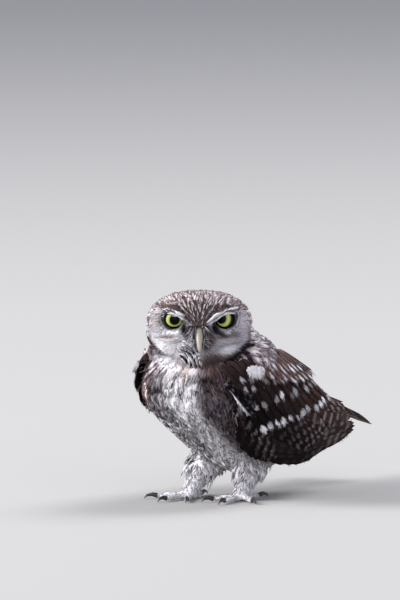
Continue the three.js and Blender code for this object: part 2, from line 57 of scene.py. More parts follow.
# %% The camera
MM = 0.001
SHIFT = np.array([-0.17, -53.89, 0.0])  # from the owl's own origin, between its feet, to the frame's
VIEW_TURN, VIEW_RISE = math.radians(33), math.radians(5)
FIELD, DISTANCE, FILM = 345.0, 5000.0, 36.0  # in millimetres
FARTHEST_SEEN = 20  # in metres
IMAGE_MIDDLE, IMAGE_HEIGHT = (200, 300), 600
PIXEL = FIELD / IMAGE_HEIGHT
ORIGIN_PIXEL = (214.5, 499.5)  # where the owl's own origin shows

to_camera = np.array([
    math.sin(VIEW_TURN) * math.cos(VIEW_RISE),
    -math.cos(VIEW_TURN) * math.cos(VIEW_RISE),
    math.sin(VIEW_RISE),
])
view_right = np.array([math.cos(VIEW_TURN), math.sin(VIEW_TURN), 0.0])
view_up = np.cross(to_camera, view_right)
aim = (
    view_right * (IMAGE_MIDDLE[0] - ORIGIN_PIXEL[0]) * PIXEL
    + view_up * (ORIGIN_PIXEL[1] - IMAGE_MIDDLE[1]) * PIXEL
)
bpy.ops.object.camera_add()
camera = bpy.context.object
camera.data.sensor_width = FILM
camera.data.lens = FILM * DISTANCE / FIELD
camera.data.clip_end = FARTHEST_SEEN
camera.location = Vector((aim + SHIFT + to_camera * DISTANCE) * MM)
camera.rotation_euler = Vector(-to_camera).to_track_quat("-Z", "Y").to_euler()
bpy.context.scene.camera = camera
print("lens", round(camera.data.lens), "mm at", DISTANCE * MM, "m")

# %% [markdown]
# ## Colours
# Hex values are what the eye reads off a screen. The renderer wants linear light, so one function turns
# them over. All plumage is mixed from these few pigments: browns from melanin, and white where there is
# none.

# %% Colours
def linear(code):
    value = np.array([int(code[i:i + 2], 16) / 255 for i in (1, 3, 5)])
    return np.where(value <= 0.04045, value / 12.92, ((value + 0.055) / 1.055) ** 2.4)


BLACKISH, DARK, BROWN = linear("#0d0a0d"), linear("#2b1f20"), linear("#57423f")
WARM, BUFF, GREY = linear("#866c6a"), linear("#b59f90"), linear("#8b8290")
PALE, WHITE, ROSE = linear("#c4bcc6"), linear("#f7f4f8"), linear("#efdad8")


def mix(a, b, share):
    return a + (b - a) * np.asarray(share)[..., None]


def ramp(x, low, high):
    t = np.clip((x - low) / (high - low), 0, 1)
    return t * t * (3 - 2 * t)


def bell(x):
    return np.exp(-x * x)


# %% [markdown]
# ## The owl's own measures
# The body is described along a line that slopes 27 degrees down the back: s runs to the tail, h across
# to the back and x to the left. The head has its own frame, turned 33 degrees, with its face towards -y.

# %% Measures
LEAN, HEAD_TURN = math.radians(27), math.radians(33)
HEAD_MIDDLE = np.array([0.0, -16.0, 102.0])
EYE_SIDE, EYE_UP = 14.5, 4.9
TAIL_START, TAIL_END = 70.0, 120.0


def at(x, s, h):
    return np.stack(np.broadcast_arrays(
        x,
        s * math.cos(LEAN) + h * math.sin(LEAN),
        h * math.cos(LEAN) - s * math.sin(LEAN),
    ), -1).astype(float)


def along_body(places):
    """x, s and h of places."""
    x, y, z = np.moveaxis(np.asarray(places, float), -1, 0)
    return x, y * math.cos(LEAN) - z * math.sin(LEAN), y * math.sin(LEAN) + z * math.cos(LEAN)


turned = np.array([
    [math.cos(HEAD_TURN), -math.sin(HEAD_TURN), 0],
    [math.sin(HEAD_TURN), math.cos(HEAD_TURN), 0],
    [0, 0, 1],
])


def in_head(places):
    """Places in the head's own frame."""
    return (np.asarray(places, float) - HEAD_MIDDLE) @ turned


def from_head(places):
    return np.asarray(places, float) @ turned.T + HEAD_MIDDLE


def through(*knots):
    """A smooth value through a few (place, value) knots that never overshoots them."""
    place, value = np.array(knots, float).T
    step = np.diff(value) / np.diff(place)
    inner = [0 if a * b <= 0 else 2 * a * b / (a + b) for a, b in zip(step, step[1:])]
    slope = np.array([step[0], *inner, step[-1]])

    def run(x):
        x = np.clip(x, place[0], place[-1])
        i = np.clip(np.searchsorted(place, x, side="right") - 1, 0, len(step) - 1)
        wide = place[i + 1] - place[i]
        t = (x - place[i]) / wide
        return (
            value[i] * (1 + 2 * t) * (1 - t) ** 2
            + value[i + 1] * t * t * (3 - 2 * t)
            + wide * (slope[i] * t * (1 - t) ** 2 + slope[i + 1] * t * t * (t - 1))
        )

    return run


trunk_middle = through((-72, 52), (-60, 50), (-30, 52), (0, 56), (30, 68), (60, 84), (70, 90))

# %% [markdown]
# ## The wing's outside
# Folded wing feathers lie on one curved sheet over the body's side. A place on it is given by s and by
# the turn round the body, and a feather is bent to follow it.

# %% The wing's outside
COVER_SQUARENESS = 2.25
cover_half = through((-72, 22), (-66, 27), (-60, 33), (-50, 37.5), (-35, 40.5), (-10, 41.5),
                     (15, 41), (40, 37), (65, 31), (90, 24), (120, 17))
cover_top = through((-72, 70), (-58, 79), (-45, 87), (-20, 93),
                    (5, 94.5), (40, 94.5), (70, 96), (120, 101))
cover_middle = through((-72, 48), (-30, 53), (0, 58), (30, 67), (60, 79), (90, 89), (120, 96))
cover_bottom = through((-72, 0), (-20, -8), (20, 0), (60, 40), (120, 75))


def signed_power(v, p):
    return np.sign(v) * np.abs(v) ** p


def on_cover(s, turn):
    c, d, power = np.cos(turn), np.sin(turn), 2 / COVER_SQUARENESS
    middle = cover_middle(s)
    reach = np.where(c > 0, cover_top(s) - middle, middle - cover_bottom(s))
    return at(cover_half(s) * signed_power(d, power), s, middle + reach * signed_power(c, power))


def unit(v):
    return v / np.maximum(np.linalg.norm(v, axis=-1, keepdims=True), 1e-9)


def cover_frame(s, turn):
    """Place, normal, and the steps for one unit of s and of turn."""
    step_s = on_cover(s + 0.5, turn) - on_cover(s - 0.5, turn)
    step_turn = (on_cover(s, turn + 0.02) - on_cover(s, turn - 0.02)) / 0.04
    normal = unit(np.cross(step_s, step_turn))
    return on_cover(s, turn), normal * np.where(normal[..., :1] < 0, -1, 1), step_s, step_turn


def turn_at(s, h):
    middle = cover_middle(s)
    reach = np.where(h > middle, cover_top(s) - middle, middle - cover_bottom(s))
    share = np.minimum(np.abs(h - middle) / reach, 0.998)
    return np.arccos(np.sign(h - middle) * share ** (COVER_SQUARENESS / 2))


# %% [markdown]
# ## Tools for meshes
# Blender works in metres from the frame's origin, and the owl's own measures are millimetres from a
# place between its feet, so points are turned over on the way in and out. The solids themselves are
# never changed, and what is made from them starts as a copy.

# %% Tools for meshes
def vectors(vertices, key):
    """The place or the normal of each vertex, one a row."""
    flat = np.empty(len(vertices) * 3)
    vertices.foreach_get(key, flat)
    return flat.reshape(-1, 3)


def own(obj):
    """The object's points in the owl's own millimetres."""
    return vectors(obj.data.vertices, "co") / MM - SHIFT


def set_points(obj, places):
    obj.data.vertices.foreach_set("co", ((places + SHIFT) * MM).ravel())
    obj.data.update()


def only(obj):
    bpy.ops.object.select_all(action="DESELECT")
    obj.select_set(True)
    bpy.context.view_layer.objects.active = obj


def apply_modifier(obj, kind, **settings):
    only(obj)
    modifier = obj.modifiers.new(kind.title(), kind)
    for key, value in settings.items():
        setattr(modifier, key, value)
    bpy.ops.object.modifier_apply(modifier=modifier.name)


def copies_joined(name, nodes, others=()):
    """One new object from copies of CAD nodes and other pieces, with its doubled points merged."""
    bpy.ops.object.select_all(action="DESELECT")
    for node in nodes:
        piece = bpy.data.objects.new(name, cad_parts[node].data.copy())
        piece.data.materials.clear()
        bpy.context.collection.objects.link(piece)
        piece.select_set(True)
    for other in others:
        other.select_set(True)
    bpy.context.view_layer.objects.active = piece
    if len(nodes) > 1:
        bpy.ops.object.join()
    made = bpy.context.object
    made.name = made.data.name = name
    bpy.ops.object.mode_set(mode="EDIT")
    bpy.ops.mesh.select_all(action="SELECT")
    bpy.ops.mesh.remove_doubles(threshold=1e-6)
    bpy.ops.mesh.normals_make_consistent(inside=False)
    bpy.ops.object.mode_set(mode="OBJECT")
    return made


# %% [markdown]
# ## The skin
# Under its coat an owl is one unbroken skin. Copies of the fleshy solids are joined with two lenses for
# each arm and hand, and remeshed into one surface, so that no seam is left.

# %% The skin
FLESH_NODES = ["head", "neck", "torso"] + [f"{p}_{s}" for p in ("leg", "foot") for s in ("left", "right")]
SKIN_VOXEL = 1.3
ARM = (-29, 67, 45, 20, 0.57)  # middle s and h, half-length, half-breadth and tilt
HAND_OPEN, HAND_FOLDED = (-41, 37, 20, 11, 2.05), (-39, 53, 15, 9, 2.05)
LENS_SIDES = 32
LENS_RINGS = ((0.4, 0), (0.75, 0), (0.99, 0), (0.99, 1), (0.75, 1), (0.4, 1))  # reach, and 1 if outside
LENS_EDGE, LENS_INSIDE, LENS_OUTSIDE, LENS_SLOPE = -6.2, -8, -4.2, 2.8  # depths under the wing's outside


def flesh_lens(side, middle_s, middle_h, along, across, tilt):
    """The flesh of an arm or a hand: a lens laid against the inside of the wing."""
    turn = np.linspace(0, 2 * math.pi, LENS_SIDES, endpoint=False)
    rings = []
    for share, outside in LENS_RINGS:
        a, b = along * share * np.cos(turn), across * share * np.sin(turn)
        s = middle_s + a * math.cos(tilt) - b * math.sin(tilt)
        h = middle_h + a * math.sin(tilt) + b * math.cos(tilt)
        face = LENS_OUTSIDE + LENS_SLOPE * (b / across + 1) if outside else LENS_INSIDE
        lift = LENS_EDGE + (face - LENS_EDGE) * math.sqrt(1 - share ** 4)
        place, normal, _, _ = cover_frame(s, turn_at(s, h))
        rings.append((place + normal * np.broadcast_to(lift, s.shape)[:, None]) * (side, 1, 1))
    points = (np.concatenate(rings) + SHIFT) * MM
    numbers = np.arange(len(points)).reshape(-1, LENS_SIDES).tolist()
    faces = [numbers[0], numbers[-1]]
    for ring, following in zip(numbers, numbers[1:]):
        for i in range(LENS_SIDES):
            k = (i + 1) % LENS_SIDES
            faces.append([ring[i], ring[k], following[k], following[i]])
    mesh = bpy.data.meshes.new("flesh")
    mesh.from_pydata(points.tolist(), [], faces)
    made = bpy.data.objects.new("flesh", mesh)
    bpy.context.collection.objects.link(made)
    return made


arms = [flesh_lens(1, *ARM), flesh_lens(1, *HAND_OPEN), flesh_lens(-1, *ARM), flesh_lens(-1, *HAND_FOLDED)]
skin = copies_joined("skin", FLESH_NODES, arms)
apply_modifier(skin, "REMESH", mode="VOXEL", voxel_size=SKIN_VOXEL * MM, use_smooth_shade=True)
apply_modifier(skin, "SMOOTH", factor=0.5, iterations=6)
print("skin:", len(skin.data.polygons), "faces")

# %% [markdown]
# ## The depth of the coat
# The solids reach to the coat's outside. So the skin is drawn in along its normals, by as much as the
# feathers at each place will stand off it: most on the body, less on the head and face, and hardly any
# on the toes. Arms and hands lie outside head, neck and trunk, which is how they are told apart.

# %% The depth of the coat
HEAD_COAT, FACE_THINNER, BODY_COAT, ARM_COAT, LEAST_COAT = 1.7, 0.5, 3.9, 1.3, 0.25
HEAD_SIDE, HEAD_AHEAD, HEAD_BEHIND, HEAD_HIGH = 32, 33, 27, 23  # half-axes of what counts as head
body_triangles = []
for node in ("head", "neck", "torso"):
    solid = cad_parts[node]
    solid.data.calc_loop_triangles()
    corners = np.empty(len(solid.data.loop_triangles) * 3, int)
    solid.data.loop_triangles.foreach_get("vertices", corners)
    body_triangles.append(own(solid)[corners])
body_points = np.concatenate(body_triangles)
body_tree = BVHTree.FromPolygons(
    [Vector(p) for p in body_points], [(i, i + 1, i + 2) for i in range(0, len(body_points), 3)])


def beyond_body(places):
    """How far places lie outside head, neck and trunk: arms and hands do."""
    out = []
    for place in places:
        found, normal, _, _ = body_tree.find_nearest(Vector(place))
        out.append((Vector(place) - found).dot(normal))
    return np.array(out)


def neck_share(places):
    """0 on the head, 1 well down on the neck and body."""
    q = in_head(places)
    deep = np.where(q[..., 1] < 0, HEAD_AHEAD, HEAD_BEHIND)
    reach = np.sqrt((q[..., 0] / HEAD_SIDE) ** 2 + (q[..., 1] / deep) ** 2 + (q[..., 2] / HEAD_HIGH) ** 2)
    return ramp(reach, 1.02, 1.25)


def coat_depth(places):
    z, q = places[:, 2], in_head(places)
    face = ramp(-q[:, 1], 2, 14) * (1 - neck_share(places))
    depth = HEAD_COAT - FACE_THINNER * face
    depth = depth + (BODY_COAT - depth) * neck_share(places)
    depth = depth + (ARM_COAT - depth) * ramp(beyond_body(places), 0.5, 2.5) * neck_share(places)
    return depth * ramp(z, 4, 30) + LEAST_COAT


points = own(skin)
depths = coat_depth(points)
set_points(skin, points - vectors(skin.data.vertices, "normal") * depths[:, None])
print("coat:", round(depths.min(), 1), "to", round(depths.max(), 1), "mm deep")

# %% [markdown]
# ## Meshes from arrays
# A coat is thousands of small closed forms. Each kind is worked out once as a grid of points for all of
# its feathers together, and becomes one mesh. Every feather keeps three things with it: its colours, its
# own measure in millimetres across and along the shaft, and a small patch on an unwrap of the skin.

# %% Meshes from arrays
PATCH = 0.003  # the share of the unwrap that one feather takes, across
NEAR_FLOOR = 0.6  # below this height, in mm, a feather bends along the floor and not through it
# each leaf's underside takes its top's colour at this share: painted shade
UNDERSIDE_PAINTED_SHADE = 0.75


def painted(mesh, colours):
    """Keeps a colour with each point, where the finishes find it."""
    paint = mesh.color_attributes.new("Plumage", "FLOAT_COLOR", "POINT")
    paint.data.foreach_set("color", np.c_[colours, np.ones(len(colours))].astype(np.float32).ravel())


def mesh_of(name, places, triangles, colours, vane_uv, bake_uv):
    mesh = bpy.data.meshes.new(name)
    mesh.vertices.add(len(places))
    points = places + SHIFT
    low = np.minimum(points[:, 2], NEAR_FLOOR)
    points[:, 2] += NEAR_FLOOR * np.exp(low / NEAR_FLOOR - 1) - low
    mesh.vertices.foreach_set("co", (points * MM).astype(np.float32).ravel())
    mesh.loops.add(triangles.size)
    mesh.loops.foreach_set("vertex_index", triangles.astype(np.int32).ravel())
    mesh.polygons.add(len(triangles))
    mesh.polygons.foreach_set("loop_start", np.arange(0, triangles.size, 3, dtype=np.int32))
    mesh.polygons.foreach_set("use_smooth", np.ones(len(triangles), bool))
    mesh.update(calc_edges=True)
    painted(mesh, colours)
    for title, uv in (("OFBake", bake_uv), ("Vane", vane_uv)):
        layer = mesh.uv_layers.new(name=title)
        layer.data.foreach_set("uv", uv[triangles.ravel()].astype(np.float32).ravel())
    made = bpy.data.objects.new(name, mesh)
    bpy.context.collection.objects.link(made)
    return made


def grid_faces(rows, cols):
    """Triangles of a closed leaf: a grid on top, and underneath one row of points down its middle."""
    top = np.arange(rows * cols).reshape(rows, cols)
    under = rows * cols + np.arange(rows)
    faces = []

    def quad(a, b, c, d):
        faces.extend([(a, b, c), (a, c, d)])

    for j in range(rows - 1):
        for k in range(cols - 1):
            quad(top[j, k], top[j, k + 1], top[j + 1, k + 1], top[j + 1, k])
        quad(top[j, 0], top[j + 1, 0], under[j + 1], under[j])
        quad(under[j], under[j + 1], top[j + 1, -1], top[j, -1])
    for k in range(cols - 1):
        faces.append((top[0, k + 1], top[0, k], under[0]))
        faces.append((top[-1, k], top[-1, k + 1], under[-1]))
    return np.array(faces)


def leaves(name, top, under, colours, across, along, patch_at):
    """A mesh of closed leaves. top is feathers x rows x cols x 3, and under is feathers x rows x 3."""
    n, rows, cols = top.shape[:3]
    each = rows * cols + rows
    places = np.concatenate([top.reshape(n, -1, 3), under], 1)
    shades = np.concatenate([colours.reshape(n, -1, 3), colours[:, :, cols // 2] * UNDERSIDE_PAINTED_SHADE], 1)
    u = np.concatenate([across.reshape(n, -1), np.zeros((n, rows))], 1)
    v = np.concatenate([along.reshape(n, -1), along[:, :, cols // 2]], 1)
    span = np.stack([u / np.abs(u).max(1, keepdims=True), v / v.max(1, keepdims=True) * 2 - 1], -1)
    bake = patch_at[:, None] + span * PATCH / 2
    triangles = (grid_faces(rows, cols)[None] + (np.arange(n) * each)[:, None, None]).reshape(-1, 3)
    flat = [a.reshape(n * each, -1) for a in (places, shades, np.stack([u, v], -1), bake)]
    return mesh_of(name, flat[0], triangles, flat[1], flat[2], flat[3])


# %% [markdown]
# ## Where feathers grow
# Roots are drawn at random on the skin and thinned so that no two come closer than the spacing that
# their part of the body asks for. Each shaft then walks over the skin along the lie of the coat, so that
# it bends with the body.

# %% Where feathers grow
rng = np.random.default_rng(7)
skin_points = own(skin)
skin_faces = [tuple(p.vertices) for p in skin.data.polygons]
skin_tree = BVHTree.FromPolygons([Vector(p) for p in skin_points], skin_faces)
point_normals = vectors(skin.data.vertices, "normal")
face_normals = unit(np.array([point_normals[list(f)].mean(0) for f in skin_faces]))
quads = np.array([f if len(f) == 4 else (*f, f[-1]) for f in skin_faces])
quad_areas = np.linalg.norm(np.cross(
    skin_points[quads[:, 2]] - skin_points[quads[:, 0]],
    skin_points[quads[:, 3]] - skin_points[quads[:, 1]],
), axis=1) / 2
quad_middles = skin_points[quads].mean(1)


def strewn(number, share=1.0):
    """Random places over the skin, as dense as the share that is given for each of its faces."""
    weight = quad_areas * share
    chosen = rng.choice(len(quads), number, p=weight / weight.sum())
    a, b = rng.random((2, number, 1))
    p = skin_points[quads[chosen]]
    return (p[:, 0] * (1 - a) + p[:, 1] * a) * (1 - b) + (p[:, 3] * (1 - a) + p[:, 2] * a) * b


def spaced(places, spacing):
    """Keeps a place only where none kept so far is closer than its spacing."""
    cell = spacing.max()
    grid, kept = {}, []
    keys = np.floor(places / cell).astype(int)
    around = [(i, j, k) for i in (-1, 0, 1) for j in (-1, 0, 1) for k in (-1, 0, 1)]
    for index, (key, place, gap) in enumerate(zip(keys.tolist(), places.tolist(), spacing.tolist())):
        x, y, z = place
        reach = gap * gap
        near = (q for d in around for q in grid.get((key[0] + d[0], key[1] + d[1], key[2] + d[2]), ()))
        if any((q[0] - x) ** 2 + (q[1] - y) ** 2 + (q[2] - z) ** 2 < reach for q in near):
            continue
        grid.setdefault(tuple(key), []).append(place)
        kept.append(index)
    return np.array(kept)


def shafts(roots, lies, lengths, shares):
    """Places and normals on the skin below each shaft, at shares of its length."""
    places = np.empty((len(roots), len(shares), 3))
    ups = np.empty_like(places)
    for i, (root, lie, length) in enumerate(zip(roots, lies, lengths)):
        place, lie = Vector(root), Vector(lie)
        for j, share in enumerate(shares):
            step = length * (share - shares[j - 1]) if j else 0
            found, _, face, _ = skin_tree.find_nearest(place + lie * step)
            up = Vector(face_normals[face])
            place = found
            lie = (lie - up * lie.dot(up)).normalized()
            places[i, j], ups[i, j] = found, up
    return places, ups


# %% [markdown]
# ## The lie of the coat
# On the body feathers point to the tail, and down on the legs. On the head they stream back from the bill
# over crown and cheeks, except in the facial disc, where they stand out round each eye like the spokes of
# a wheel.

# %% The lie of the coat
BILL_SOURCE = np.array([0.0, -34.0, -3.0])
DISC_HALF, DISC_DOWN = 29.0, 20.5
DISC_TOP = ([0, 2.2, 6.5, 11, 16, 20, 22.5, 26, 31], [-1, 0.5, 4.6, 7.8, 9.5, 9.9, 10.4, 15.5, 19])
HANG = np.array([0.0, 0.0, -1.0])
CHIN_CURVE = (-14.0, -22.0)  # the bristles of the chin curve round this place
ANKLE_LEFT, ANKLE_RIGHT = np.array([15.0, 6.0, 9.0]), np.array([-15.0, -2.0, 9.0])
WAVES = rng.normal(size=(5, 3))
PHASES = rng.random(5) * 2 * math.pi
EVENNESS = 2.2  # brings the sum of the five waves to about 1


def mottle(places, size):
    """A smooth random value of about -1 to 1 that changes over that many millimetres."""
    return np.sin(places @ WAVES.T * (EVENNESS / size) + PHASES).sum(-1) / EVENNESS


def brow_height(side):
    """How high the disc reaches, by the distance from the face's middle: the brow, then the tufts."""
    return np.interp(side, *DISC_TOP)


def disc_share(q):
    """1 inside the facial disc, 0 beyond its rim. q is in the head's frame."""
    side, z = np.abs(q[..., 0]), q[..., 2]
    reach = np.hypot(side / DISC_HALF, np.minimum(z, 0) / DISC_DOWN)
    below = ramp(brow_height(side) - z, -0.4, 0.8)
    edge = np.where(z < 0, ramp(1.05 - reach, 0, 0.1), 1)
    rear = -q[..., 1] - 0.25 * np.maximum(z, 0) - 0.03 * (z + 2) ** 2 + 1.6 * mottle(q, 5)
    return ramp(rear, 0, 4) * below * edge


def combed(ways, ups, lift=0.0):
    """Ways turned into the skin's plane, and raised from it by lift."""
    return unit(ways - ups * (ways * ups).sum(-1, keepdims=True) + lift * ups)


def head_lie(q):
    """The lie on the head: back from the bill, and inside the disc outwards from each eye."""
    away = unit(q - BILL_SOURCE)
    throat = (ramp(-q[..., 2], 15, 21) * ramp(-q[..., 1], -4, 6))[..., None]
    away = unit(away * (1 - throat) + (HANG + (0, 0.1, 0)) * throat)
    eye = np.stack([np.sign(q[..., 0]) * EYE_SIDE, q[..., 1], np.full(q.shape[:-1], EYE_UP)], -1)
    spokes = unit(q - eye)
    inner = ramp(np.abs(q[..., 0]), 4, 12)[..., None]
    spokes = unit(spokes * inner + (HANG + 0.6 * away) * (1 - inner))
    strand = unit(np.stack([q[..., 0], 0 * q[..., 1], 0.55 * (q[..., 2] - 1)], -1))
    dx, dz = q[..., 0] - CHIN_CURVE[0], q[..., 2] - CHIN_CURVE[1]
    curl = unit(np.stack([dz, 0 * dx, -dx], -1))
    at_chin = (bell((q[..., 0] + 6.5) / 7) * bell((q[..., 2] + 14) / 7))[..., None]
    strand = unit(strand + (curl - strand) * ramp(at_chin, 0.25, 0.6))
    spokes = unit(spokes + (strand - spokes) * ramp(-q[..., 2], -1, 4)[..., None])
    disc = disc_share(q)[..., None]
    return unit(away * (1 - disc) + spokes * disc)


def body_lie(places):
    """To the tail, drooping on the breast, down on the legs and outwards along the toes."""
    _, s, _ = along_body(places)
    droop = ramp(-s, 20, 60)[..., None]
    on_body = unit(at(0, 1, 0) * (1 - 0.55 * droop) + HANG * droop * 0.9)
    leg = ramp(-places[..., 2], -34, -22)[..., None]
    on_leg = unit(on_body * (1 - leg) + HANG * leg)
    from_ankle = places - np.where(places[..., :1] > 0, ANKLE_LEFT, ANKLE_RIGHT)
    foot = ramp(-places[..., 2], -10, -7)[..., None]
    return unit(on_leg * (1 - foot) + unit(from_ankle) * (1, 1, 0.2) * foot)


def flow(places, ups):
    """The direction in which feathers point, in the skin's plane."""
    neck = neck_share(places)[..., None]
    on_head = head_lie(in_head(places)) @ turned.T
    return combed(on_head * (1 - neck) + body_lie(places) * neck, ups)


# %% [markdown]
# ## The coat's pattern
# Functions give the colour of the plumage at any place on the body. Some marks run over several feathers,
# as the streaks of the breast do. Others belong to each feather and come later, with the feathers
# themselves.

# %% The coat's pattern
def scatter(*cells):
    """A random share for each cell of a grid."""
    total = sum(cell * factor for cell, factor in zip(cells, (12.9898, 78.233)))
    return np.modf(np.abs(np.sin(total) * 43758.5453))[0]


def strokes(a, b, wide, long, share):
    """1 along scattered strokes of pigment: a runs across them and b along them, in millimetres."""
    column = np.floor(a / wide)
    row = np.floor(b / long + scatter(column, 3 * column))
    across = a / wide - column - 0.5 - 0.3 * (scatter(row, column) - 0.5)
    along = b / long + scatter(column, 3 * column) - row
    worn = ramp(along, 0.05, 0.35) * (1 - ramp(along, 0.75, 0.95))
    return bell(across / (0.46 - 0.14 * along)) * worn * (scatter(column, row) < share)


def breast_side(places):
    """0 on the white middle of the breast, 1 at its sides, where the streaks are bold."""
    x, _, z = np.moveaxis(places, -1, 0)
    lower = 5 * ramp(-z, -60, -48)  # the streaks of the right side reach further in on the belly
    return np.maximum(ramp(lower - x, 2, 9), ramp(x, 11, 19)) * ramp(z, 20, 30)


def breast_streaks(places):
    """Brown strokes that run down the breast and back along the belly, over several feathers each."""
    x, s, _ = along_body(places)
    side = breast_side(places)
    across = x + 1.3 * mottle(places, 14)
    return strokes(across, s - 0.7 * places[..., 2], 3.2, 11, 0.1 + 0.8 * side) * (0.5 + 0.5 * side)


def upperside(places):
    """0 below, 1 on the back, with the border running along the flanks."""
    x, s, h = along_body(places)
    turn = np.arctan2(np.abs(x), h - trunk_middle(s))
    return ramp(1.9 + 0.25 * ramp(s, 0, 40) - turn, -0.1, 0.2)


# %% [markdown]
# ## The pattern of the face
# The face is painted from the front, in soft ovals laid over each other as a painter would lay them: first
# the pale fields, then the dark ones round eyes and bill. Stripes curve over the left of the chin, and a
# dark rim closes the disc below.

# %% The pattern of the face
def patch(q, x, z, wide, tall, slant=0.0):
    """An oval on the face with a soft edge, its long side turned by slant degrees."""
    c, d = math.cos(math.radians(slant)), math.sin(math.radians(slant))
    dx, dz = q[..., 0] - x, q[..., 2] - z
    return 1 - ramp(np.hypot((dx * c + dz * d) / wide, (dz * c - dx * d) / tall), 0.4, 1.35)


def near_line(q, knots, reach):
    """1 on a line through knots of the face, falling off over reach."""
    best = np.full(q.shape[:-1], 1e9)
    for (x0, z0), (x1, z1) in zip(knots, knots[1:]):
        ax, az = x1 - x0, z1 - z0
        t = np.clip(((q[..., 0] - x0) * ax + (q[..., 2] - z0) * az) / (ax * ax + az * az), 0, 1)
        best = np.minimum(best, np.hypot(q[..., 0] - x0 - t * ax, q[..., 2] - z0 - t * az))
    return bell(best / reach)


FACE_PATCHES = [
    # colour, strength, x, z, half-width, half-height, slant: seen from the front, x to the owl's left
    (PALE, 0.8, 26, 8, 4.5, 9, 0),
    (PALE, 0.6, 25, -3, 5, 9, 0),
    (BUFF, 0.35, -25, 4, 4.5, 6, 0),
    (BROWN, 0.45, -22, 4, 1.4, 4, 0),
    (WHITE, 1.0, -21, -11, 8.5, 4.6, -20),
    (WHITE, 0.9, -15, -2.4, 6, 1.4, 0),
    (WARM, 0.8, -18, -5.2, 5.5, 1.2, 6),
    (BROWN, 0.5, -12.5, -7.6, 5.5, 1.1, 8),
    (DARK, 0.9, -6.0, -2.0, 3.4, 5.4, 10),
    (PALE, 0.7, -5.0, 3.0, 2.0, 1.4, 30),
    (WHITE, 0.9, 5.4, 3.8, 4, 1.5, -30),
    (WHITE, 0.6, 15, -1.6, 5, 1.2, 0),
    (BROWN, 0.5, 20.5, -3, 3, 2.6, 0),
    (BROWN, 0.7, 14, -4.6, 6, 1.2, 4),
    (PALE, 0.5, 15, -7.6, 6, 1.6, 0),
    (BROWN, 0.4, 17, -9.0, 5, 1.0, 10),
    (WHITE, 0.9, 14.5, -12.4, 6.5, 2.4, 18),
    (BROWN, 0.95, 5.2, -6.5, 3.4, 6.2, -8),
    (DARK, 0.6, 3.4, -9.5, 2.0, 4, 0),
    (BROWN, 0.9, 7.5, -17.5, 8.5, 5.0, 8),
    (DARK, 0.9, -1.6, -17.5, 2.6, 3.4, 0),
    (BLACKISH, 0.98, -9.0, 0.2, 1.9, 4.2, -14),
    (BLACKISH, 0.99, 9.2, 0.4, 2.7, 4.2, 14),
    (BLACKISH, 0.9, 12, -2.6, 3.6, 1.6, -30),
]
RIM_LEFT = [(26.5, -9.5), (25, -11.5), (20, -15.5), (15, -19.5), (13, -24)]
RIM_RIGHT = [(-28.5, -14), (-26.5, -20)]
THROAT_PATCHES = [
    (mix(PALE, BUFF, 0.3), 0.7, -12, -24, 14, 7),
    (WHITE, 1.0, -20, -22, 8, 5, -10),
    (BUFF, 0.5, -8, -24, 3, 6),
    (mix(BROWN, WARM, 0.35), 0.95, 7, -22.5, 9, 6),
    (DARK, 0.95, 3, -29, 9, 2.2, 4),
    (mix(BROWN, GREY, 0.2), 0.8, 13, -31, 5, 8),
    (mix(PALE, WHITE, 0.5), 0.9, 27, -18, 8, 3.2, 25),
]
CHIN_STRIPES = (-5.5, -14.5, 6.8, 5.8)  # the oval that they fill
STRIPE_START, STRIPE_PITCH = 11, 2.6


def with_patches(q, ground, patches):
    for colour, strength, *place in patches:
        ground = mix(ground, colour, strength * patch(q, *place))
    return ground


def face_colour(q):
    from_eye = np.hypot(np.abs(q[..., 0]) - EYE_SIDE, q[..., 2] - EYE_UP)
    # the owl's left half of the face is painted greyer than its right: painted shade
    shaded = 0.2 * ramp(q[..., 0], -2, 8)
    out = mix(GREY, WHITE, 0.22 - shaded + 0.4 * ramp(mottle(q, 5), -0.9, 0.9))
    out = with_patches(q, out, FACE_PATCHES)
    under_eye = bell((from_eye - 8.8) / 0.7) * ramp(-q[..., 2], 1, 3) * (q[..., 0] > 11)
    out = mix(out, BROWN, 0.6 * under_eye)
    ring = bell((from_eye - 6.0) / 0.9)
    out = mix(out, DARK, 0.6 * ring)
    r = np.hypot(q[..., 0] - CHIN_CURVE[0], q[..., 2] - CHIN_CURVE[1])
    wavy = 1.3 * mottle(q, 2.5)
    stripes = ramp(np.cos((r - STRIPE_START) / STRIPE_PITCH * 2 * math.pi + wavy), -0.35, 0.6)
    window = patch(q, *CHIN_STRIPES)
    out = mix(out, mix(GREY, WHITE, 0.85), 0.8 * window)
    uneven = 0.7 + 0.3 * ramp(mottle(q, 4), -0.7, 0.3)
    out = mix(out, BLACKISH, 0.97 * stripes * ramp(window, 0.1, 0.6) * uneven)
    middle = bell(q[..., 0] / 2.0) * ramp(q[..., 2], -1, 1.5)
    out = mix(out, DARK, 0.8 * middle)
    round_eye = np.arctan2(q[..., 2] - EYE_UP, q[..., 1] + 20)
    spokes = ramp(np.cos(15 * round_eye + 2 * mottle(q, 5)), -0.3, 0.6)
    return mix(out, BROWN, 0.7 * spokes * ramp(q[..., 1], -17, -9))


# %% [markdown]
# ## The whole coat's colour
# Crown and back are brown, the belly is white with brown streaks, and the flanks are a greyish brown that is
# partly painted shade.
# The same function colours the skin a little darker, as painted shade, so that no pale gap shows between
# feathers.

# %% The whole coat's colour
SKIN_PAINTED_SHADE = 0.9


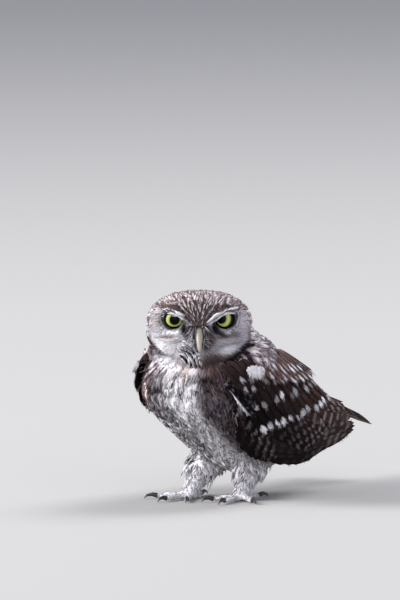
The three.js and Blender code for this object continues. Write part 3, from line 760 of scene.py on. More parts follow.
def plumage(places):
    """The ground colour of the coat."""
    q, z = in_head(places), places[..., 2]
    x, s, _ = along_body(places)
    dark_crown = mix(DARK, BROWN, 0.2 + 0.5 * ramp(mottle(places, 6), -0.8, 0.8))
    head = mix(dark_crown, face_colour(q), disc_share(q))
    back = mix(DARK, BROWN, 0.35 + 0.5 * ramp(mottle(places, 9), -1, 1))
    below = mix(PALE, WHITE, 0.7 + 0.3 * ramp(mottle(places, 8), -1, 1))
    # the owl's left flank is greyish brown: partly its own streaked colour and partly painted shade
    flank = mix(mix(BROWN, GREY, 0.75), mix(BROWN, GREY, 0.25), ramp(mottle(places, 5), -1, 1))
    beyond = x + 2.5 * mottle(places, 8)
    white_below = mix(below, flank, 0.9 * ramp(beyond, 10, 19) * ramp(-s, -25, 0) * ramp(z, 22, 38))
    # high on the owl's right the breast is painted greyer: painted shade
    shaded_side = 0.8 * ramp(-beyond, 4, 11) * ramp(z, 42, 56)
    white_below = mix(white_below, mix(GREY, BROWN, 0.3), shaded_side)
    streak = mix(DARK, BLACKISH, 0.6 * ramp(-x, 2, 8))
    white_below = mix(white_below, streak, 0.95 * breast_streaks(places))
    body = mix(white_below, back, upperside(places))
    coat = mix(head, body, neck_share(places))
    front = ramp(-q[..., 1], -6, 2)
    under_face = front * ramp(-q[..., 2], 10, 16) * ramp(q[..., 2], -42, -34) * (1 - disc_share(q))
    coat = mix(coat, with_patches(q, white_below, THROAT_PATCHES), under_face)
    rim = 1.1 * near_line(q, RIM_LEFT, 1.8) + 0.4 * near_line(q, RIM_RIGHT, 1.6)
    return mix(coat, mix(DARK, BLACKISH, 0.5), np.minimum(rim, 1) * front)


# the skin takes the coat's colour a little darker: painted shade in the gaps between feathers
painted(skin.data, plumage(skin_points) * SKIN_PAINTED_SHADE)

# %% [markdown]
# ## The unwrap
# For the export each feather keeps the place of its root on a flat map of the owl: the head's globe
# above, the body's tube below it, and the legs in a corner of their own.

# %% The unwrap
def unwrapped(places):
    """Where each place falls on an unwrap of the body: the head's globe above, the body's tube below."""
    q = in_head(places)
    x, s, h = along_body(places)
    round_head = np.arctan2(q[..., 0], -q[..., 1]) / (2 * math.pi) + 0.5
    high = np.arctan2(q[..., 2], np.hypot(q[..., 0], q[..., 1])) / math.pi + 0.5
    on_head = np.stack([0.01 + 0.98 * round_head, 0.55 + 0.44 * high], -1)
    round_body = np.arctan2(x, h - trunk_middle(s)) / (2 * math.pi) + 0.5
    on_body = np.stack([0.01 + 0.6 * round_body, 0.01 + 0.5 * np.clip((s + 80) / 180, 0, 1)], -1)
    legs = np.stack([
        0.64 + 0.35 * np.clip((x + 45) / 90, 0, 1),
        0.01 + 0.5 * np.clip((places[..., 1] * 0.5 + places[..., 2] + 30) / 90, 0, 1),
    ], -1)
    low = (places[..., 2] < 20)[..., None]
    return np.where(neck_share(places)[..., None] > 0.5, np.where(low, legs, on_body), on_head)

# %% [markdown]
# ## Contour feathers
# The small feathers that give the bird its outline are shields with a loose, notched tip. Each is raised
# off the skin towards its tip, so that it lies over the next ones like a roof tile. Its barbs come apart
# at the edges, so each feather also bears a few free blades that take their colour from where they
# leave it.

# %% Contour feathers
SHIELD = ((0, 0.3, 0.58, 0.8, 1), (0.3, 0.86, 1, 0.92, 0.5))  # shares of the length, and of the width there
BLADE = ((0, 0.5, 1), (0.8, 1, 0.15))
SUNK_ROOT = 0.4  # how far each root lies under the skin, in mm


def spread(low, high, count):
    return low + (high - low) * rng.random(count)


def vary(value, count, by=0.15):
    return value * spread(1 - by, 1 + by, count)


def grown(name, roots, length, width, depth, paint, cols=5, shield=SHIELD,
          notch=0.16, wander=0.17, bend=0.1):
    """Feathers at roots, with length, width and depth each one value for every feather."""
    n, shares = len(roots), np.array(shield[0])
    ups = np.array([face_normals[skin_tree.find_nearest(Vector(r))[2]] for r in roots])
    lies = flow(roots, ups)
    lies = unit(lies + np.cross(ups, lies) * rng.normal(0, wander, (n, 1)))
    places, ups = shafts(roots, lies, length, shares)
    ahead = np.diff(places, axis=1)
    ahead = unit(np.concatenate([ahead, ahead[:, -1:]], 1))
    side = unit(np.cross(ahead, ups))
    u = np.linspace(-1, 1, cols)
    wide = np.interp(shares, *shield) * 0.5
    loose = rng.normal(0, 1, (n, len(shares), cols)) * (shares ** 3)[:, None]
    loose[:, -1] += np.where(np.arange(cols) % 2, 1, -1)
    loose[:, -1] -= 1.2 * u * u
    rise = -SUNK_ROOT + (depth[:, None] + SUNK_ROOT) * shares ** 0.75
    lean = rng.normal(0, bend, n)[:, None, None] * width[:, None, None] * (shares ** 2)[:, None]
    out = u * (wide * width[:, None])[:, :, None] + lean
    roof = rise[:, :, None] - 0.12 * width[:, None, None] * (u * u)
    long = notch * loose * length[:, None, None]
    top = (
        places[:, :, None] + side[:, :, None] * out[..., None]
        + ups[:, :, None] * roof[..., None] + ahead[:, :, None] * long[..., None]
    )
    thick = 0.09 * width[:, None, None] * (1.1 - shares[:, None])
    under = top[:, :, cols // 2] - ups * thick
    across = u * (wide * width[:, None])[:, :, None]
    along = shares[:, None] * length[:, None, None] + long + 0.001
    u, v = (np.broadcast_to(share, across.shape) for share in (u, shares[:, None]))
    colours, patch_at = paint(roots, u, v, top), unwrapped(roots)
    made = leaves(name, top, under, colours, across, along, patch_at)
    return made, (top, colours, ahead, ups, patch_at)


def blades(name, roots, ahead, ups, length, width, curve, colours, patch_at):
    """Single barbs: thin closed blades that bend by curve towards their tip."""
    v, wide = np.array(BLADE)
    wide = wide * 0.5
    side = unit(np.cross(ahead, ups))
    spine = roots[:, None] + ahead[:, None] * (length[:, None] * v)[..., None]
    spine = spine + curve[:, None] * (v * v)[:, None]
    out = np.array([-1, 1]) * (width[:, None] * wide)[..., None]
    top = spine[:, :, None] + side[:, None, None] * out[..., None]
    under = spine - ups[:, None] * (width[:, None] * wide * 0.6)[..., None]
    shades = np.broadcast_to(np.asarray(colours)[:, :, None], top.shape)
    along = np.broadcast_to((length[:, None] * v)[..., None] + 0.001, out.shape)
    return leaves(name, top, under, shades, out, along, patch_at)


def frayed(name, feathers, number, length, width, lift, fan=0.5):
    """Free barbs at the edges of feathers that are already made."""
    top, colours, ahead, ups, patch_at = feathers
    n, rows, cols = top.shape[:3]
    i = rng.integers(0, n, number)
    v, u = spread(0.3, 0.97, number) * (rows - 1), spread(0.03, 0.97, number) * (cols - 1)
    j, k = v.astype(int), u.astype(int)
    a, b = (v - j)[:, None], (u - k)[:, None]

    def pick(grid):
        near = grid[i, j, k] * (1 - b) + grid[i, j, k + 1] * b
        far = grid[i, j + 1, k] * (1 - b) + grid[i, j + 1, k + 1] * b
        return near * (1 - a) + far * a

    up, fore = ups[i, j], ahead[i, j]
    turn = (u / (cols - 1) * 2 - 1)[:, None] * fan + rng.normal(0, 0.16, (number, 1))
    fore = unit(fore + np.cross(fore, up) * turn + up * lift)
    shade = pick(colours) * spread(0.86, 1.1, (number, 1))
    shades = np.stack([shade * 0.96, shade, shade], 1)
    long, wide = vary(length, number, 0.35), vary(width, number, 0.25)
    return blades(name, pick(top) + up * 0.05, fore, up, long, wide, -up * (0.6 * lift * length),
                  shades, patch_at[i])


# %% [markdown]
# ## The feathers' own marks
# A paint gives every point of every feather its colour. It knows each feather's root, how far the point
# lies across the vane and along the shaft, and its place in space. What is drawn at random is drawn once
# for each feather, so no two are alike.

# %% The feathers' own marks
CROWN_START = np.array([0.0, -25.0, 2.0])  # where the crown's smallest feathers are, over the bill


def per_feather(values):
    return values[:, None, None]


def ground_paint(lightness=0.1):
    """The ground colour of each place that the feather covers, a little lighter or darker by feather."""
    def paint(roots, u, v, places):
        return plumage(places) * per_feather(spread(1 - lightness, 1 + lightness, (len(roots), 1)))
    return paint


def strand_paint(roots, u, v, places):
    """One colour for each strand, taken half along it, so that fine marks stay crisp."""
    return plumage(places[:, 1:2, :1]) * per_feather(spread(0.72, 1.15, (len(roots), 1))) + 0 * places


def crown_paint(roots, u, v, places):
    """Dark brown, with a pale streak on the forehead that shortens to a spot towards the nape."""
    q = in_head(roots)
    back = ramp(q[:, 1], -16, 2)
    beside = ramp(np.abs(q[:, 0]), 22, 27) * ramp(-q[:, 2], -13, -7)
    dark_edge = bell((q[:, 2] - brow_height(np.abs(q[:, 0])) - 1.0) / 1.5) * ramp(-q[:, 1], 4, 8)
    high = ramp(np.linalg.norm(q - CROWN_START, axis=1), 8, 20)
    ground = mix(mix(DARK, BLACKISH, 0.3), BROWN, 0.25 + 0.6 * rng.random(len(roots)))
    ground = mix(ground, WARM, 0.75 * high)
    pale = mix(GREY, PALE, rng.random(len(roots))) * (1 - 0.6 * (rng.random((len(roots), 1)) < 0.22))
    ground = per_feather(mix(ground, pale, 0.9 * beside))
    start = per_feather(0.1 + 0.4 * back)
    marked = (rng.random(len(roots)) < 0.93) * spread(0.75, 1, len(roots)) * (1 - 0.8 * dark_edge)
    wide = per_feather(0.4 + 0.45 * np.maximum(high, beside)) * (0.7 + 0.5 * v)
    streak = bell(u / wide) * ramp(v, start, start + 0.22) * (1 - ramp(v, 0.86, 1.1))
    top = mix(ground, mix(ROSE, WHITE, 0.6), streak * per_feather(marked))
    low_front = ramp(-q[:, 2], 5, 10) * ramp(-q[:, 1], -6, 2) * (1 - ramp(q[:, 0], 23, 28))
    edge = near_line(q, RIM_LEFT, 1.9) * ramp(-q[:, 1], -6, 2)
    return mix(mix(top, plumage(places), per_feather(low_front) + 0 * u), DARK, per_feather(edge) + 0 * u)


def breast_paint(roots, u, v, places):
    """The ground colour, with a dark streak along the shaft, bold at the sides. The neck's are spotted."""
    side = breast_side(roots)
    chosen = rng.random(len(roots)) < 0.08 + 0.72 * side
    marked = per_feather(chosen * spread(0.6, 1, len(roots)) * (0.45 + 0.55 * side))
    streak = bell(u / per_feather(0.3 + 0.3 * side)) ** 2 * ramp(v, 0.15, 0.4)
    ground = plumage(places) * per_feather(spread(0.88, 1.08, (len(roots), 1)))
    streaked = mix(ground, mix(DARK, BLACKISH, 0.5), streak * marked)
    q = in_head(roots)
    beside = upperside(roots) * ramp(np.abs(q[:, 0]), 21, 25) * ramp(q[:, 2], -30, -25)
    return mix(streaked, neck_paint(roots, u, v, places), per_feather(beside) + 0 * u)


def bend_paint(roots, u, v, places):
    """The dark small feathers over the bend of the wing."""
    shade = per_feather(mix(BLACKISH, DARK, rng.random(len(roots))))
    return mix(shade, BROWN, 0.3 * v)


def neck_paint(roots, u, v, places):
    """Brown with a broad white spot that fills most of the feather. The neck's front sides are palest."""
    q = in_head(roots)
    front = ramp(-q[:, 1], -14, -4) * ramp(np.abs(q[:, 0]), 20, 25) * ramp(q[:, 2], -27, -21)
    ground = mix(mix(DARK, BROWN, 0.5), WARM, rng.random(len(roots)) * 0.8)
    ground = per_feather(mix(ground, mix(GREY, PALE, rng.random(len(roots))), 0.5 * front))
    marked = per_feather((rng.random(len(roots)) < 0.8 + 0.1 * front) * spread(0.7, 1, len(roots)))
    spot = bell(u / 0.65) * ramp(v, 0.3, 0.5) * (1 - ramp(v, 0.84, 1.0))
    return mix(ground, mix(ROSE, WHITE, 0.5), spot * marked)


def mantle_paint(roots, u, v, places):
    """Brown with a white spot to each side of the shaft, near the tip."""
    ground = per_feather(mix(mix(DARK, BROWN, 0.8), mix(BROWN, WARM, 0.9), rng.random(len(roots))))
    marked = per_feather((rng.random(len(roots)) < 0.65) * spread(0.6, 1, len(roots)))
    spot = bell((np.abs(u) - 0.5) / 0.34) * bell((v - 0.68) / 0.17)
    return mix(ground, mix(PALE, WHITE, 0.6), spot * marked)


# %% [markdown]
# ## The coat is sown
# The seeds are sorted into regions by where they lie. Each region has its own kind of feather: small and
# close on the crown, long and loose on the breast, short and dense on the toes.

# %% The coat is sown
SEED_COUNT, FACE_SEED_COUNT = 90000, 26000
SEEDS = strewn(SEED_COUNT)
FACE_SEEDS = strewn(FACE_SEED_COUNT, disc_share(in_head(quad_middles)) > 0.3)
seed_head = in_head(SEEDS)
seed_neck = neck_share(SEEDS)
seed_disc = disc_share(seed_head)
seed_up = upperside(SEEDS)
_, seed_s, _ = along_body(SEEDS)
seed_arm = (beyond_body(SEEDS) > -1.6) & (seed_neck >= 0.3) & (SEEDS[:, 2] > 26)
on_shank = SEEDS[:, 2] < 22
on_foot = SEEDS[:, 2] < 9
trunk_part = (seed_neck >= 0.3) & ~seed_arm
nape_part = (seed_head[:, 1] > -10) & (seed_head[:, 2] > -42) & (seed_up > 0.5) & (seed_s < 2)
REGIONS = {
    "crown": (seed_neck < 0.3) & (seed_disc < 0.4),
    "nape": trunk_part & nape_part,
    "mantle": trunk_part & (seed_up > 0.5) & (seed_s >= 2),
    "breast": trunk_part & ~on_shank & ((seed_up <= 0.5) | (seed_head[:, 1] <= -10)),
    "shoulder": seed_arm & (seed_s < -48),
    "shank": on_shank & ~on_foot,
    "toe": on_foot & (SEEDS[:, 2] > 1.6),
}
KINDS = {
    # region: spacing, length, width, depth, paint, columns, free barbs and their length
    "crown": (1.4, 5.6, 2.3, 1.8, crown_paint, 7, 4000, 2.0),
    "nape": (2.6, 8.5, 4.8, 3.7, neck_paint, 7, 5000, 3.0),
    "mantle": (3.0, 10.5, 6.4, 3.8, mantle_paint, 7, 5000, 3.0),
    "breast": (2.1, 10.5, 4.4, 3.9, breast_paint, 7, 14000, 3.6),
    "shoulder": (2.8, 8.0, 4.8, 1.4, bend_paint, 7, 1000, 2.4),
    "shank": (1.7, 6.5, 2.4, 1.8, ground_paint(), 5, 3000, 3.4),
    "toe": (1.0, 3.0, 0.9, 0.5, ground_paint(), 3, 600, 1.6),
}
ALONG_HEAD = np.array([1, 0.62, 0.62])  # crown feathers stand in rows, closer across than along
BARB_WIDTH, BARB_LIFT = 0.38, 0.22


def thinned(roots, spacing):
    return roots[spaced(roots, np.full(len(roots), spacing))]


coat = []
for region, (spacing, length, width, depth, paint, cols, barbs, barb_length) in KINDS.items():
    roots, size = SEEDS[REGIONS[region]], 1.0
    if region == "crown":
        roots = from_head(thinned(in_head(roots) * ALONG_HEAD, spacing) / ALONG_HEAD)
        size = 0.62 + 0.38 * ramp(np.linalg.norm(in_head(roots) - CROWN_START, axis=1), 4, 20)
    else:
        roots = thinned(roots, spacing)
    n = len(roots)
    made, feathers = grown(f"{region}_feathers", roots, vary(length, n) * size, vary(width, n) * size,
                           vary(depth, n), paint, cols)
    coat += [made, frayed(f"{region}_barbs", feathers, barbs, barb_length, BARB_WIDTH, BARB_LIFT)]
    print(region, n, "feathers and", barbs, "barbs")

# %% [markdown]
# ## The face
# The plumage of the face is hair-fine, with hardly a closed vane in it, so it is made of single blades
# that follow the skin.

# %% The face
FACE_SPACING, STRAND_LENGTH, STRAND_WIDTH, STRAND_DEPTH = 0.46, 3.6, 0.55, 1.2


def eye_gap(q):
    """The distance from the middle of the nearer eye, seen from the front."""
    return np.hypot(np.abs(q[:, 0]) - EYE_SIDE, q[:, 2] - EYE_UP)


q = in_head(FACE_SEEDS)
off_eye = (eye_gap(q) > 5.8) & (q[:, 1] < -12)
off_bill = (np.abs(q[:, 0]) > 1.8) | (q[:, 2] > 0.6) | (q[:, 2] < -12)
roots = thinned(FACE_SEEDS[off_eye & off_bill & (disc_share(q) > 0.35)], FACE_SPACING)
n = len(roots)
q = in_head(roots)
tuft = ramp(np.abs(q[:, 0]), 20, 26) * ramp(q[:, 2], 6, 12)  # longer over the brows' outer ends
near_eye = 1 - ramp(eye_gap(q), 5.5, 8.5)
length = vary(STRAND_LENGTH, n, 0.3) * (1 - 0.45 * near_eye) + 2.5 * tuft
width, depth = vary(STRAND_WIDTH, n), vary(STRAND_DEPTH, n, 0.4) + 1.4 * tuft
made, _ = grown("face_barbs", roots, length, width, depth, strand_paint,
                cols=2, shield=BLADE, notch=0.0, wander=0.14, bend=0.6)
coat.append(made)
print("face", n, "barbs")


# %% [markdown]
# ## Brows, chin and bristles
# White blades in layers make the brows, and rows of black and white ones curve round the chin. Long
# bristles fan out from the root of the bill over its sides. All of them are placed from the front, by
# casting rays back on to the skin.

# %% Brows, chin and bristles
BEFORE_FACE = -60.0  # where the rays start, in front of the head


def on_face(x, z):
    """The skin's place and normal at x and z of the head's own frame, seen from the front."""
    starts = from_head(np.stack([x, np.full_like(x, BEFORE_FACE), z], -1))
    ahead = Vector(turned @ (0.0, 1.0, 0.0))
    hits = [skin_tree.ray_cast(Vector(start), ahead) for start in starts]
    return np.array([hit[0] for hit in hits]), np.array([face_normals[hit[2]] for hit in hits])


def head_way(x, y, z):
    return unit(np.stack(np.broadcast_arrays(x, y, z), -1).astype(float)) @ turned.T


BROW_SIDE = np.array([4.5, 7, 9.5, 12, 15, 18, 21.5])
BROW_UP = np.array([2.6, 4.9, 6.8, 8.2, 9.1, 9.4, 9.3])
BROW_FULLNESS = ([4.5, 8, 14, 22.5], [0.4, 0.9, 1.1, 0.5])
BROW_START, BROW_END = {"left": 4.5, "right": 8.4}, 20.5
BROW_BLADES, BROW_LENGTH, BROW_WIDTH = 700, 3.0, 0.55
RIGHT_DROP = 0.05  # the right brow sinks this much a millimetre, outside its bend at 10
for side_name, side in (("left", 1), ("right", -1)):
    n, drop = BROW_BLADES, (side < 0) * RIGHT_DROP
    t = rng.random(n)
    x = BROW_START[side_name] + (BROW_END - BROW_START[side_name]) * t
    centre = np.interp(x, BROW_SIDE, BROW_UP) - drop * np.maximum(x - 10, 0)
    z = centre + spread(-0.8, 0.8, n) * np.interp(x, *BROW_FULLNESS)
    roots, ups = on_face(side * x, z)
    slope = np.interp(x + 1, BROW_SIDE, BROW_UP) - np.interp(x, BROW_SIDE, BROW_UP) - drop * (x > 10)
    ahead = combed(head_way(side, -0.25, slope + rng.normal(0, 0.03, n)), ups, 0.12)
    shade = mix(PALE, WHITE, 0.5 + 0.5 * rng.random(n))
    starts = roots + ups * spread(0.8, 1.5, (n, 1))
    length, width = vary(BROW_LENGTH, n, 0.2), vary(BROW_WIDTH, n)
    coat.append(blades(f"brow_{side_name}", starts, ahead, ups, length, width, -ups * 0.4,
                       np.stack([shade * 0.92, shade, shade], 1), unwrapped(roots)))
print("brows:", 2 * BROW_BLADES, "blades")

CHIN_ARCS = [
    # radius round the chin's curve, first and last turn in degrees, pigment
    (6.6, 20, 60, WHITE), (7.7, 25, 72, BLACKISH), (8.8, 8, 84, WHITE), (9.8, 30, 88, BLACKISH),
    (10.9, 5, 80, WHITE), (11.9, 12, 62, BLACKISH), (12.6, 48, 90, BLACKISH), (13.3, 10, 75, WHITE),
    (14.2, 22, 55, BLACKISH), (14.6, 62, 88, BLACKISH), (15.4, 15, 80, WHITE),
]
CHIN_LENGTH, CHIN_WIDTH, BLADES_A_DEGREE = 2.9, 0.42, 0.8
for i, (radius, first, last, shade) in enumerate(CHIN_ARCS):
    n = int((last - first) * BLADES_A_DEGREE)
    degrees = spread(first, last, n)
    turn = np.radians(degrees)
    out = radius + 0.5 * np.sin(degrees / 11 + 1.7 * i) + rng.normal(0, 0.33, n)
    roots, ups = on_face(CHIN_CURVE[0] + out * np.sin(turn), CHIN_CURVE[1] + out * np.cos(turn))
    ahead = combed(head_way(np.cos(turn), -0.1, -np.sin(turn) + rng.normal(0, 0.16, n)), ups, 0.1)
    bent = head_way(-np.sin(turn), 0.0, -np.cos(turn)) * 0.45 - ups * 0.3
    tints = np.stack([shade * spread(0.6, 1.0, (n, 1))] * 3, 1)
    starts = roots + ups * spread(0.5, 1.3, (n, 1))
    length, width = vary(CHIN_LENGTH, n, 0.4), vary(CHIN_WIDTH, n, 0.3)
    coat.append(blades(f"chin_{i}", starts, ahead, ups, length, width, bent, tints, unwrapped(roots)))

BRISTLES, BRISTLE_LENGTH, BRISTLE_WIDTH = 420, 4.4, 0.38
x = rng.choice([-1, 1], BRISTLES) * spread(1.4, 4.2, BRISTLES)
z = spread(-7.5, 2.4, BRISTLES)
roots, ups = on_face(x, z)
sides = np.sign(x)
turn = spread(-2.2, 1.0, BRISTLES)  # from almost straight down to outwards and up
ahead = head_way(sides * np.cos(turn) * 0.8, -0.75, np.sin(turn) * 0.8 - 0.15)
dusky = (rng.random(BRISTLES) < np.where(x < 0, 0.5, 0.65))[:, None]
dark_shade = mix(DARK, BROWN, rng.random(BRISTLES) * np.where(x < 0, 0.3, 1))
root_shade = np.where(dusky, dark_shade, mix(GREY, WHITE, rng.random(BRISTLES)))
tip_shade = mix(root_shade, DARK, 0.6 * rng.random(BRISTLES))
length, width = vary(BRISTLE_LENGTH, BRISTLES, 0.35), vary(BRISTLE_WIDTH, BRISTLES)
coat.append(blades("bristles", roots - ups * 0.3, ahead, ups, length, width,
                   head_way(sides * 0.5, 0.35, -0.9) * 1.6,
                   np.stack([root_shade, root_shade, tip_shade], 1), unwrapped(roots)))
print("bristles:", BRISTLES)

# %% [markdown]
# ## Wings
# The wing's feathers overlap in tiers: long primaries and secondaries lowest, then their coverts, then
# the scapulars of the shoulder on top. The left wing hangs a little open and the right one is folded
# tight, so one function of the fold makes both.

# %% Wings
VANE_ROWS, VANE_COLS = 26, 11
TILT = 0.17  # how much a vane rises for each millimetre towards its lower edge
CROWNED, SHAFT_RISE, VANE_THICK = 0.28, 0.16, 0.7
FRINGE_WEAR, TIP_WEAR = 0.12, 0.35


def between(a, b, k):
    return np.array(a, float) + (np.array(b, float) - np.array(a, float)) * k


def tiers(fold):
    """Each tier, from the body outwards: its pattern, number, width, bow, lift and how deep its roots are
    sunk, then s and h of its lowest and highest root, and its tips' s and h through a few knots."""
    f = fold
    return [
        ("primary", 9, 10, 8 - 7 * f, -3.8, 1.4, ((-34 + 11 * f, 20 + 32 * f), (-44, 48 + 12 * f)),
         ((0, 72), (0.3, 88), (0.6, 95), (1, 72)), ((0, 65 + 9 * f), (0.3, 75), (0.6, 84), (1, 86))),
        ("secondary", 12, 10, 3, -2.2, 1.8, ((-44 + 8 * f, 40 + 10 * f), (0, 78)),
         ((0, 32), (0.5, 50), (1, 66)), ((0, 47 + 9 * f), (0.5, 68), (1, 90))),
        ("hand", 9, 9, 3 - 2 * f, -1.9, 1.2, ((-43 + 13 * f, 22.5 + 30 * f), (-57 + 4 * f, 41 + 15 * f)),
         ((0, -2 + 8 * f), (1, -24)), ((0, 27 + 28 * f), (1, 39 + 16 * f))),
        ("greater", 12, 9, 1, -0.6, 2.6, ((-50, 41 + 7 * f), (4, 84)),
         ((0, -26), (1, 38)), ((0, 35.5 + 9.5 * f), (1, 80))),
        ("median", 11, 8.5, 0, 0.4, 2.4, ((-61, 52 + 3 * f), (-9, 86)),
         ((0, -40), (1, 18)), ((0, 43 + 8 * f), (1, 80))),
        ("thumb", 3, 5.5, 1.4, 1.1, 1.4, ((-63.5, 47.5 + 7 * f), (-61, 51.5 + 7 * f)),
         ((0, -40), (1, -50)), ((0, 37.5 + 10 * f), (1, 46 + 9 * f))),
        ("lesser", 11, 7.5, 0, 1.1, 2.4, ((-66, 56 + 2 * f), (-22, 87)),
         ((0, -52), (1, 0)), ((0, 49 + 6 * f), (1, 82))),
        ("marginal", 12, 5.6, 0, 1.6, 2.2, ((-66, 58 + f), (-34, 85)),
         ((0, -56.5), (1, -18)), ((0, 52.5 + 4 * f), (1, 82))),
        ("scapular", 11, 13, 0, 1.9, 4.2, ((-50, 71), (-8, 91)),
         ((0, -30), (0.5, 0), (1, 24)), ((0, 65), (0.5, 77), (1, 90.5))),
    ]


def vane_share(v, blunt):
    """A vane's half-width along its length: narrow at the quill, full, then rounded off."""
    end = np.sqrt(np.clip(1 - ((v - blunt) / (1 - blunt + 1e-6)).clip(0) ** 2, 0.004, 1))
    return (0.42 + 0.58 * ramp(v, 0, 0.4)) * end


def wing_vane(root, tip, width, bow, lift, sunk, blunt):
    """A vane that follows the wing's outside, tilted under the next one above it."""
    v = np.linspace(0, 1, VANE_ROWS) ** 0.85
    u = np.linspace(-1, 1, VANE_COLS)
    s, h = (np.array(root)[:, None] + (np.array(tip) - np.array(root))[:, None] * v)
    turn = turn_at(s, h - bow * 4 * v * (1 - v))
    place, normal, step_s, step_turn = cover_frame(s, turn)
    ahead = unit(np.gradient(place, axis=0))
    side = unit(np.cross(ahead, normal))
    share_s = (side * step_s).sum(-1) / (step_s ** 2).sum(-1)
    share_turn = (side * step_turn).sum(-1) / (step_turn ** 2).sum(-1)
    worn = 1 - FRINGE_WEAR * np.abs(rng.normal(0, 1, (VANE_ROWS, VANE_COLS))) * (np.abs(u) > 0.9)
    out = u * (vane_share(v, blunt) * width / 2)[:, None] * worn
    low = np.where(side[:, 2] < 0, 1, -1)[:, None] * out
    s_out, turn_out = s[:, None] + out * share_s[:, None], turn[:, None] + out * share_turn[:, None]
    grid, up, _, _ = cover_frame(s_out, turn_out)
    raised = lift - sunk * (1 - ramp(v, 0, 0.12))[:, None] + TILT * low
    raised = raised + CROWNED * (1 - u * u) + SHAFT_RISE * (1 - np.abs(u)) ** 8
    ragged = rng.normal(0, TIP_WEAR, VANE_COLS) * ramp(v, 0.8, 1)[:, None]
    top = grid + up * raised[..., None] + ahead[:, None] * ragged[..., None]
    under = top[:, VANE_COLS // 2] - up[:, VANE_COLS // 2] * VANE_THICK
    length = np.linalg.norm(np.diff(place, axis=0), axis=1).sum()
    along = (v * length)[:, None] + 0.001 + 0 * out
    return top, under, out, along, low, ahead, normal


# %% [markdown]
# ## The wing's marks
# Coverts and scapulars carry one or more white spots near the tip, and the long feathers carry faint
# bars. The marks are given in millimetres along and across the shaft, so they keep their size on long and
# short feathers alike.

# %% The wing's marks
SPOTS = {
    # how plain the spot near the tip is on each feather of a tier, from the lowest to the highest
    "greater": (1, 0.6, 0.9, 0.9, 0.8, 0.7, 0.6, 0.6, 0.6, 0.9, 1, 0.5),
    "median": (0.9, 0.3, 0, 0.3, 1, 0.2, 0.5, 0, 0.5, 0.3, 0.5),
    "lesser": (0.7, 0.6, 0, 0.4, 0.6, 0.9, 0.5, 0.9, 0.4, 0.8, 0.5),
    "marginal": (0.8, 0.3, 0.7, 0.9, 0.4, 1, 0.7, 1, 0.8, 1, 0.9, 0.8),
    "scapular": (0.6, 0.5, 0.7, 0.8, 0.3, 0.9, 0.6, 0.9, 0.4, 0.8, 0.6),
}
SPOT_SIZE = {
    # from the tip, off the shaft, half-breadth, half-length, in millimetres
    "greater": (4.4, 1.2, 2.4, 3.0),
    "median": (3.8, 1.2, 1.9, 2.6),
    "lesser": (3.0, 0.8, 1.4, 2.0),
    "marginal": (2.8, 0.4, 1.4, 2.0),
    "scapular": (4.6, 2.6, 1.7, 3.0),
}
HOW_BROWN = {"median": 0.1, "lesser": 0.3, "marginal": 0.3, "scapular": 0.9}
BROWNER_TO_THE_TOP = ("primary", "secondary", "greater", "median")
BAR_PITCH = {"primary": 11.5, "secondary": 10.5, "hand": 7.5}
BAR_STRENGTH = {"primary": 0.08, "secondary": 0.22, "hand": 0.03}
# far darker than any feather: the wing's near-black is partly its own dark brown and partly painted shade
BLACK_WITH_PAINTED_SHADE = BLACKISH * 0.35


def wing_colours(kind, i, number, across, along, low, width):
    """across and along in millimetres; low is positive on the lower web."""
    length = along.max()
    v, web, k = along / length, low / (width / 2), i / (number - 1)
    # the lower feathers of these tiers are darkest and the higher ones browner: partly their own colour,
    # partly painted shade
    brown = np.clip(HOW_BROWN.get(kind, 0) + 0.6 * k ** 1.5 * (kind in BROWNER_TO_THE_TOP), 0, 1)
    ground = mix(mix(BLACK_WITH_PAINTED_SHADE, DARK, 0.05 + 0.25 * rng.random()), BROWN, brown * spread(0.6, 1.1, 1)[0] + 0 * v)
    if kind == "scapular":
        ground = mix(ground, WARM, spread(0.15, 0.75, 1)[0] * (0.6 + 0.4 * ramp(v, 0, 0.7)))
    # each vane darkens towards its edges to the same painted shade
    ground = mix(ground, BLACK_WITH_PAINTED_SHADE, 0.5 * ramp(np.abs(web), 0.6, 1))
    light = mix(PALE, WHITE, 0.4 + 0.6 * rng.random())
    if kind in BAR_PITCH:
        start = rng.normal(0, 0.8) if kind != "hand" else spread(0, 7.5, 1)[0]
        turns = (along - 4 + start - 0.45 * np.abs(across)) / BAR_PITCH[kind]
        bar = ramp(np.cos(turns * 2 * math.pi), 0.35, 0.9)
        rear = ramp(v + 0.6 * k, 0.4, 1.2)
        shade = mix(mix(BROWN, GREY, 0.4), mix(GREY, BUFF, 0.5), rear)
        strength = BAR_STRENGTH[kind] + 0.45 * rear
        return mix(ground, shade, bar * strength * (0.35 + 0.65 * ramp(web, -0.6, 0.5)))
    if kind == "thumb":
        faint = bell((web + 0.2) / 0.35) * ramp(np.cos((along + 2 * i) / 4.4 * 2 * math.pi), 0.2, 0.8)
        edge = ramp(web, 0.5, 0.72) * ramp(v, 0.05, 0.15) * (i == 0)
        return mix(mix(ground, GREY, 0.55 * faint), WHITE, edge)
    from_tip, off, wide, long = SPOT_SIZE[kind]
    size = spread(0.8, 1.2, 1)[0]
    down = length - along - from_tip
    reach = np.hypot((low - off) / (wide * size), down / (long * size))
    if kind == "scapular":
        upper = np.hypot((low + off) / (wide * size), (down - 1) / (long * size * 0.8))
        rear = np.hypot((low - off) / (wide * size), (down - 10.5) / (long * size))
        reach = np.minimum(reach, np.minimum(upper, rear))
    spot = (1 - ramp(reach, 0.75, 1.2)) * SPOTS[kind][i]
    return mix(ground, light, spot)


# %% [markdown]
# ## Both wings
# All vanes of a wing are stacked and become one mesh, with a second one for the barbs that stand free at
# their edges. The right wing is built on the left side and mirrored, with its columns turned round so
# that its faces still point outwards.

